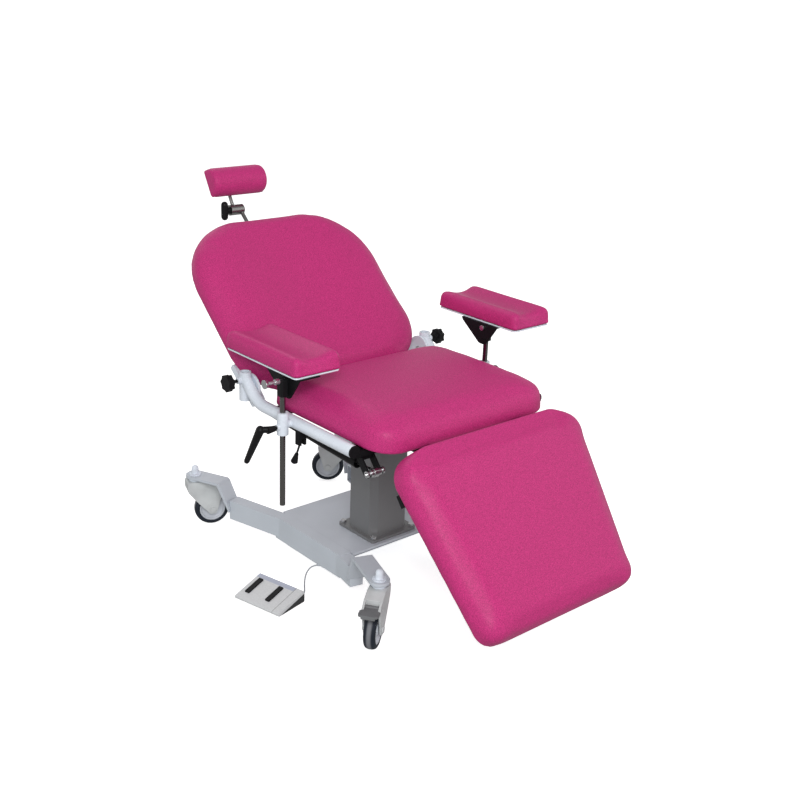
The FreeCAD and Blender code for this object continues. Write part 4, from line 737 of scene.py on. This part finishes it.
class CHAIR_OT_arm_pads(bpy.types.Operator):
    """Upholster both arm pads and lay the white trim of their boards"""

    bl_idname = "chair.arm_pads"
    bl_label = "Arm pads"

    def execute(self, context):
        swell = context.scene.chair_upholstery.swell * ARM_SWELL
        for side in SIDES:
            node = "arm_pad_" + side
            body = "armrest_" + side
            low, high = corners(node)
            seat = low + UP * (ARM_BOARD + ARM_BOARD_GAP)
            bm = merged_copy(node)
            cut_away(bm, seat, -UP)
            upholstered("arm_cushion_" + side, node, body, bm, ARM_MESH, seat, UP, swell,
                        ARM_ROUNDS)
            name = "arm_board_" + side
            add_piece(name, to_mesh(name, self.board(low, high), smooth=False), body, "cover_white")
        return {"FINISHED"}

    def board(self, low, high):
        """A thin board with rounded corners whose white edge shows under the pad."""
        bm = bmesh.new()
        bmesh.ops.create_cube(bm, size=1.0)
        inset = 2 * ARM_BOARD_INSET
        size = Vector((high.x - low.x - inset, high.y - low.y - inset, ARM_BOARD))
        bmesh.ops.scale(bm, vec=size, verts=bm.verts)
        middle = (low + high) / 2 - UP * (high.z - low.z - ARM_BOARD) / 2
        bmesh.ops.translate(bm, vec=middle, verts=bm.verts)
        upright = [e for e in bm.edges if abs(e.verts[0].co.z - e.verts[1].co.z) > ARM_BOARD / 2]
        bmesh.ops.bevel(bm, geom=upright, offset=ARM_BOARD_CORNER, affect="EDGES", segments=6, profile=0.5,
                        material=-1)
        rims = [e for e in bm.edges if len(e.link_faces) == 2 and e.calc_face_angle(0.0) > 1.2]
        bmesh.ops.bevel(bm, geom=rims, offset=ARM_BOARD_EDGE, affect="EDGES", segments=2, profile=0.5,
                        material=-1)
        return bm


# The head cushion, which leans further back than the backrest
HEAD_LEAN = 18.3
HEAD_MESH = 0.0026
HEAD_SWELL = 0.3
HEAD_ROUNDS = 10
SEAM_FROM_END = 0.011
SEAM_WIDTH = 0.0016
SEAM_DEPTH = 0.0014


class CHAIR_OT_head_cushion(bpy.types.Operator):
    """Upholster the head cushion, with a sewn seam round each end panel"""

    bl_idname = "chair.head_cushion"
    bl_label = "Head cushion"

    def execute(self, context):
        node = "head_cushion"
        swell = context.scene.chair_upholstery.swell * HEAD_SWELL
        out = joint_turn(BACK_ANGLE + HEAD_LEAN) @ UP
        places = (v.co for v in NODES[node].data.vertices)
        under = min(places, key=lambda place: place.dot(out)).copy()
        upholstered("head_bolster", node, "head_rest", merged_copy(node), HEAD_MESH, under, out, swell,
                    HEAD_ROUNDS, self.sewn)
        return {"FINISHED"}

    def sewn(self, bm):
        """Draw in the seam between the long panel and each end panel."""
        low, high = corners("head_cushion")
        seam_place = (high.x - low.x) / 2 - SEAM_FROM_END
        for v in bm.verts:
            from_seam = abs(abs(v.co.x) - seam_place)
            v.co -= v.normal * SEAM_DEPTH * math.exp(-(from_seam / SEAM_WIDTH) ** 2)


# The wheels; a profile is a row of (radius, height) points
TREAD_HALF = 0.005
WHEEL_STEPS = 72


class CHAIR_OT_wheels(bpy.types.Operator):
    """Spin the four castor wheels: a rounded tyre on a dished rim"""

    bl_idname = "chair.wheels"
    bl_label = "Castor wheels"

    tyre_profile = (
        (0.0372, -0.0146), (0.0395, -0.0150), (0.0425, -0.0146), (0.0455, -0.0132), (0.0478, -0.0108),
        (0.0492, -0.0074), (0.0499, -0.0030), (0.0499, 0.0030), (0.0492, 0.0074), (0.0478, 0.0108),
        (0.0455, 0.0132), (0.0425, 0.0146), (0.0395, 0.0150), (0.0372, 0.0146),
    )
    rim_half = (
        (0.0041, 0.0138), (0.0118, 0.0138), (0.0130, 0.0126), (0.0134, 0.0096), (0.0150, 0.0086),
        (0.0295, 0.0086), (0.0314, 0.0096), (0.0320, 0.0126), (0.0330, 0.0138), (0.0362, 0.0138),
        (0.0371, 0.0130),
    )

    def execute(self, context):
        joints = {joint["name"]: joint for joint in frame["joints"]}
        rim_profile = self.rim_half + tuple((r, -h) for r, h in reversed(self.rim_half))
        for name in CASTORS:
            roll = joints["roll_" + name]
            place = Vector(roll["pos_m"])
            axis = Vector(roll["axis"])
            turn = UP.rotation_difference(axis).to_matrix().to_4x4()
            body = "wheel_" + name
            ring = self.spun(self.tyre_profile, place, turn)
            self.wear(ring, place, axis.normalized())
            add_piece("tyre_" + name, ring, body, "tyre", "castor_" + body)
            add_piece("rim_" + name, self.spun(rim_profile, place, turn), body, "rim")
        return {"FINISHED"}

    def wear(self, mesh, place, axis):
        """Mark the middle of the tread, which is worn paler."""
        marks = mesh.attributes.new("wear", "FLOAT", "POINT")
        for mark, v in zip(marks.data, mesh.vertices):
            aside = abs((v.co - place).dot(axis))
            mark.value = 1.0 if aside < TREAD_HALF else 0.0

    def spun(self, profile, place, turn):
        """A ring spun from a closed profile and set on its axle."""
        bm = bmesh.new()
        points = [bm.verts.new((radius, 0.0, height)) for radius, height in profile]
        edges = [bm.edges.new((points[i - 1], points[i])) for i in range(len(points))]
        bmesh.ops.spin(bm, geom=points + edges, cent=(0, 0, 0), axis=(0, 0, 1), angle=2 * math.pi,
                       steps=WHEEL_STEPS, use_merge=True)
        bmesh.ops.remove_doubles(bm, verts=bm.verts, dist=1e-6)
        bmesh.ops.transform(bm, matrix=Matrix.Translation(place) @ turn, verts=bm.verts)
        return to_mesh("ring", bm)


def both(*stems):
    return tuple(stem + "_" + side for stem in stems for side in SIDES)


def each_castor(stem):
    return tuple(stem + "_" + name for name in CASTORS)


NODE_FINISHES = {
    "base_grey": ("base_frame", "castor_straps", "control_box"),
    "castor_grey": each_castor("castor_fork"),
    "brake_grey": both("castor_brake_front"),
    "cover_white": ("castor_caps",),
    "column_grey": ("column_outer", "column_inner"),
    "frame_white": ("side_tubes", "backrest_frame"),
    "shell_grey": ("pedal_shell",),
    "steel": (
        "castor_stems", "column_bolts", "lift_rod", "hinge_pins", "back_spring_rod", "leg_spring_rod",
        *both("arm_screw"),
    ),
    "dark_steel": ("head_bar", "head_bracket"),
    "chrome": both("arm_post"),
    "black_metal": (
        # seat_frame and leg_frame take this black as painted shade: their own colour is not known, and the
        # black stands for the shaded gap under the seat and the leg rest
        "seat_brackets", "seat_frame", "leg_frame", "back_spring_cylinder", "leg_spring_cylinder",
        "lift_actuator", *both("arm_head", "arm_bracket"),
    ),
    "black_plastic": (
        "column_wiper", "tube_caps", "pedal_base", "pedal_key_up", "pedal_key_down", "head_wing_knob",
        *both("clamp_lever", "socket_knob", "release_lever"),
    ),
    "vinyl": ("seat_pad", "backrest_pad", "leg_pad", "head_cushion", *both("arm_pad")),
    "tyre": each_castor("castor_wheel"),
    "lead": ("pedal_cord",),
}


class CHAIR_OT_finishes(bpy.types.Operator):
    """Give every rigid CAD piece its coat, plating or moulded finish"""

    bl_idname = "chair.finishes"
    bl_label = "Finishes"

    def execute(self, context):
        for kind, names in NODE_FINISHES.items():
            for name in names:
                mesh = NODES[name].data
                mesh.materials.clear()
                mesh.materials.append(finish(kind))
        left = sorted(set(NODES) - {name for names in NODE_FINISHES.values() for name in names})
        if left:
            raise RuntimeError("no finish for " + ", ".join(left))
        return {"FINISHED"}


class CHAIR_PT_pieces(bpy.types.Panel):
    """Lists the chair's steps"""

    bl_label = "EEG chair"
    bl_space_type = "VIEW_3D"
    bl_region_type = "UI"
    bl_category = "EEG chair"

    def draw(self, context):
        for step in STEPS:
            self.layout.operator(step.bl_idname)


SETTINGS = {
    "chair_stage": ChairStageSettings,
    "chair_upholstery": ChairUpholsterySettings,
    "chair_finish": ChairFinishSettings,
}
STEPS = (
    CHAIR_OT_stage, CHAIR_OT_lead, CHAIR_OT_main_pads, CHAIR_OT_arm_pads, CHAIR_OT_head_cushion,
    CHAIR_OT_wheels, CHAIR_OT_finishes,
)


def register():
    for group in SETTINGS.values():
        bpy.utils.register_class(group)
    for name, group in SETTINGS.items():
        setattr(bpy.types.Scene, name, PointerProperty(type=group))
    for step in STEPS:
        bpy.utils.register_class(step)
    bpy.utils.register_class(CHAIR_PT_pieces)


def unregister():
    bpy.utils.unregister_class(CHAIR_PT_pieces)
    for step in reversed(STEPS):
        bpy.utils.unregister_class(step)
    for name in SETTINGS:
        delattr(bpy.types.Scene, name)
    for group in SETTINGS.values():
        bpy.utils.unregister_class(group)


def main():
    register()
    bpy.ops.chair.stage()
    bpy.ops.chair.lead()
    bpy.ops.chair.main_pads()
    bpy.ops.chair.arm_pads()
    bpy.ops.chair.head_cushion()
    bpy.ops.chair.wheels()
    bpy.ops.chair.finishes()


if __name__ == "__main__":
    main()
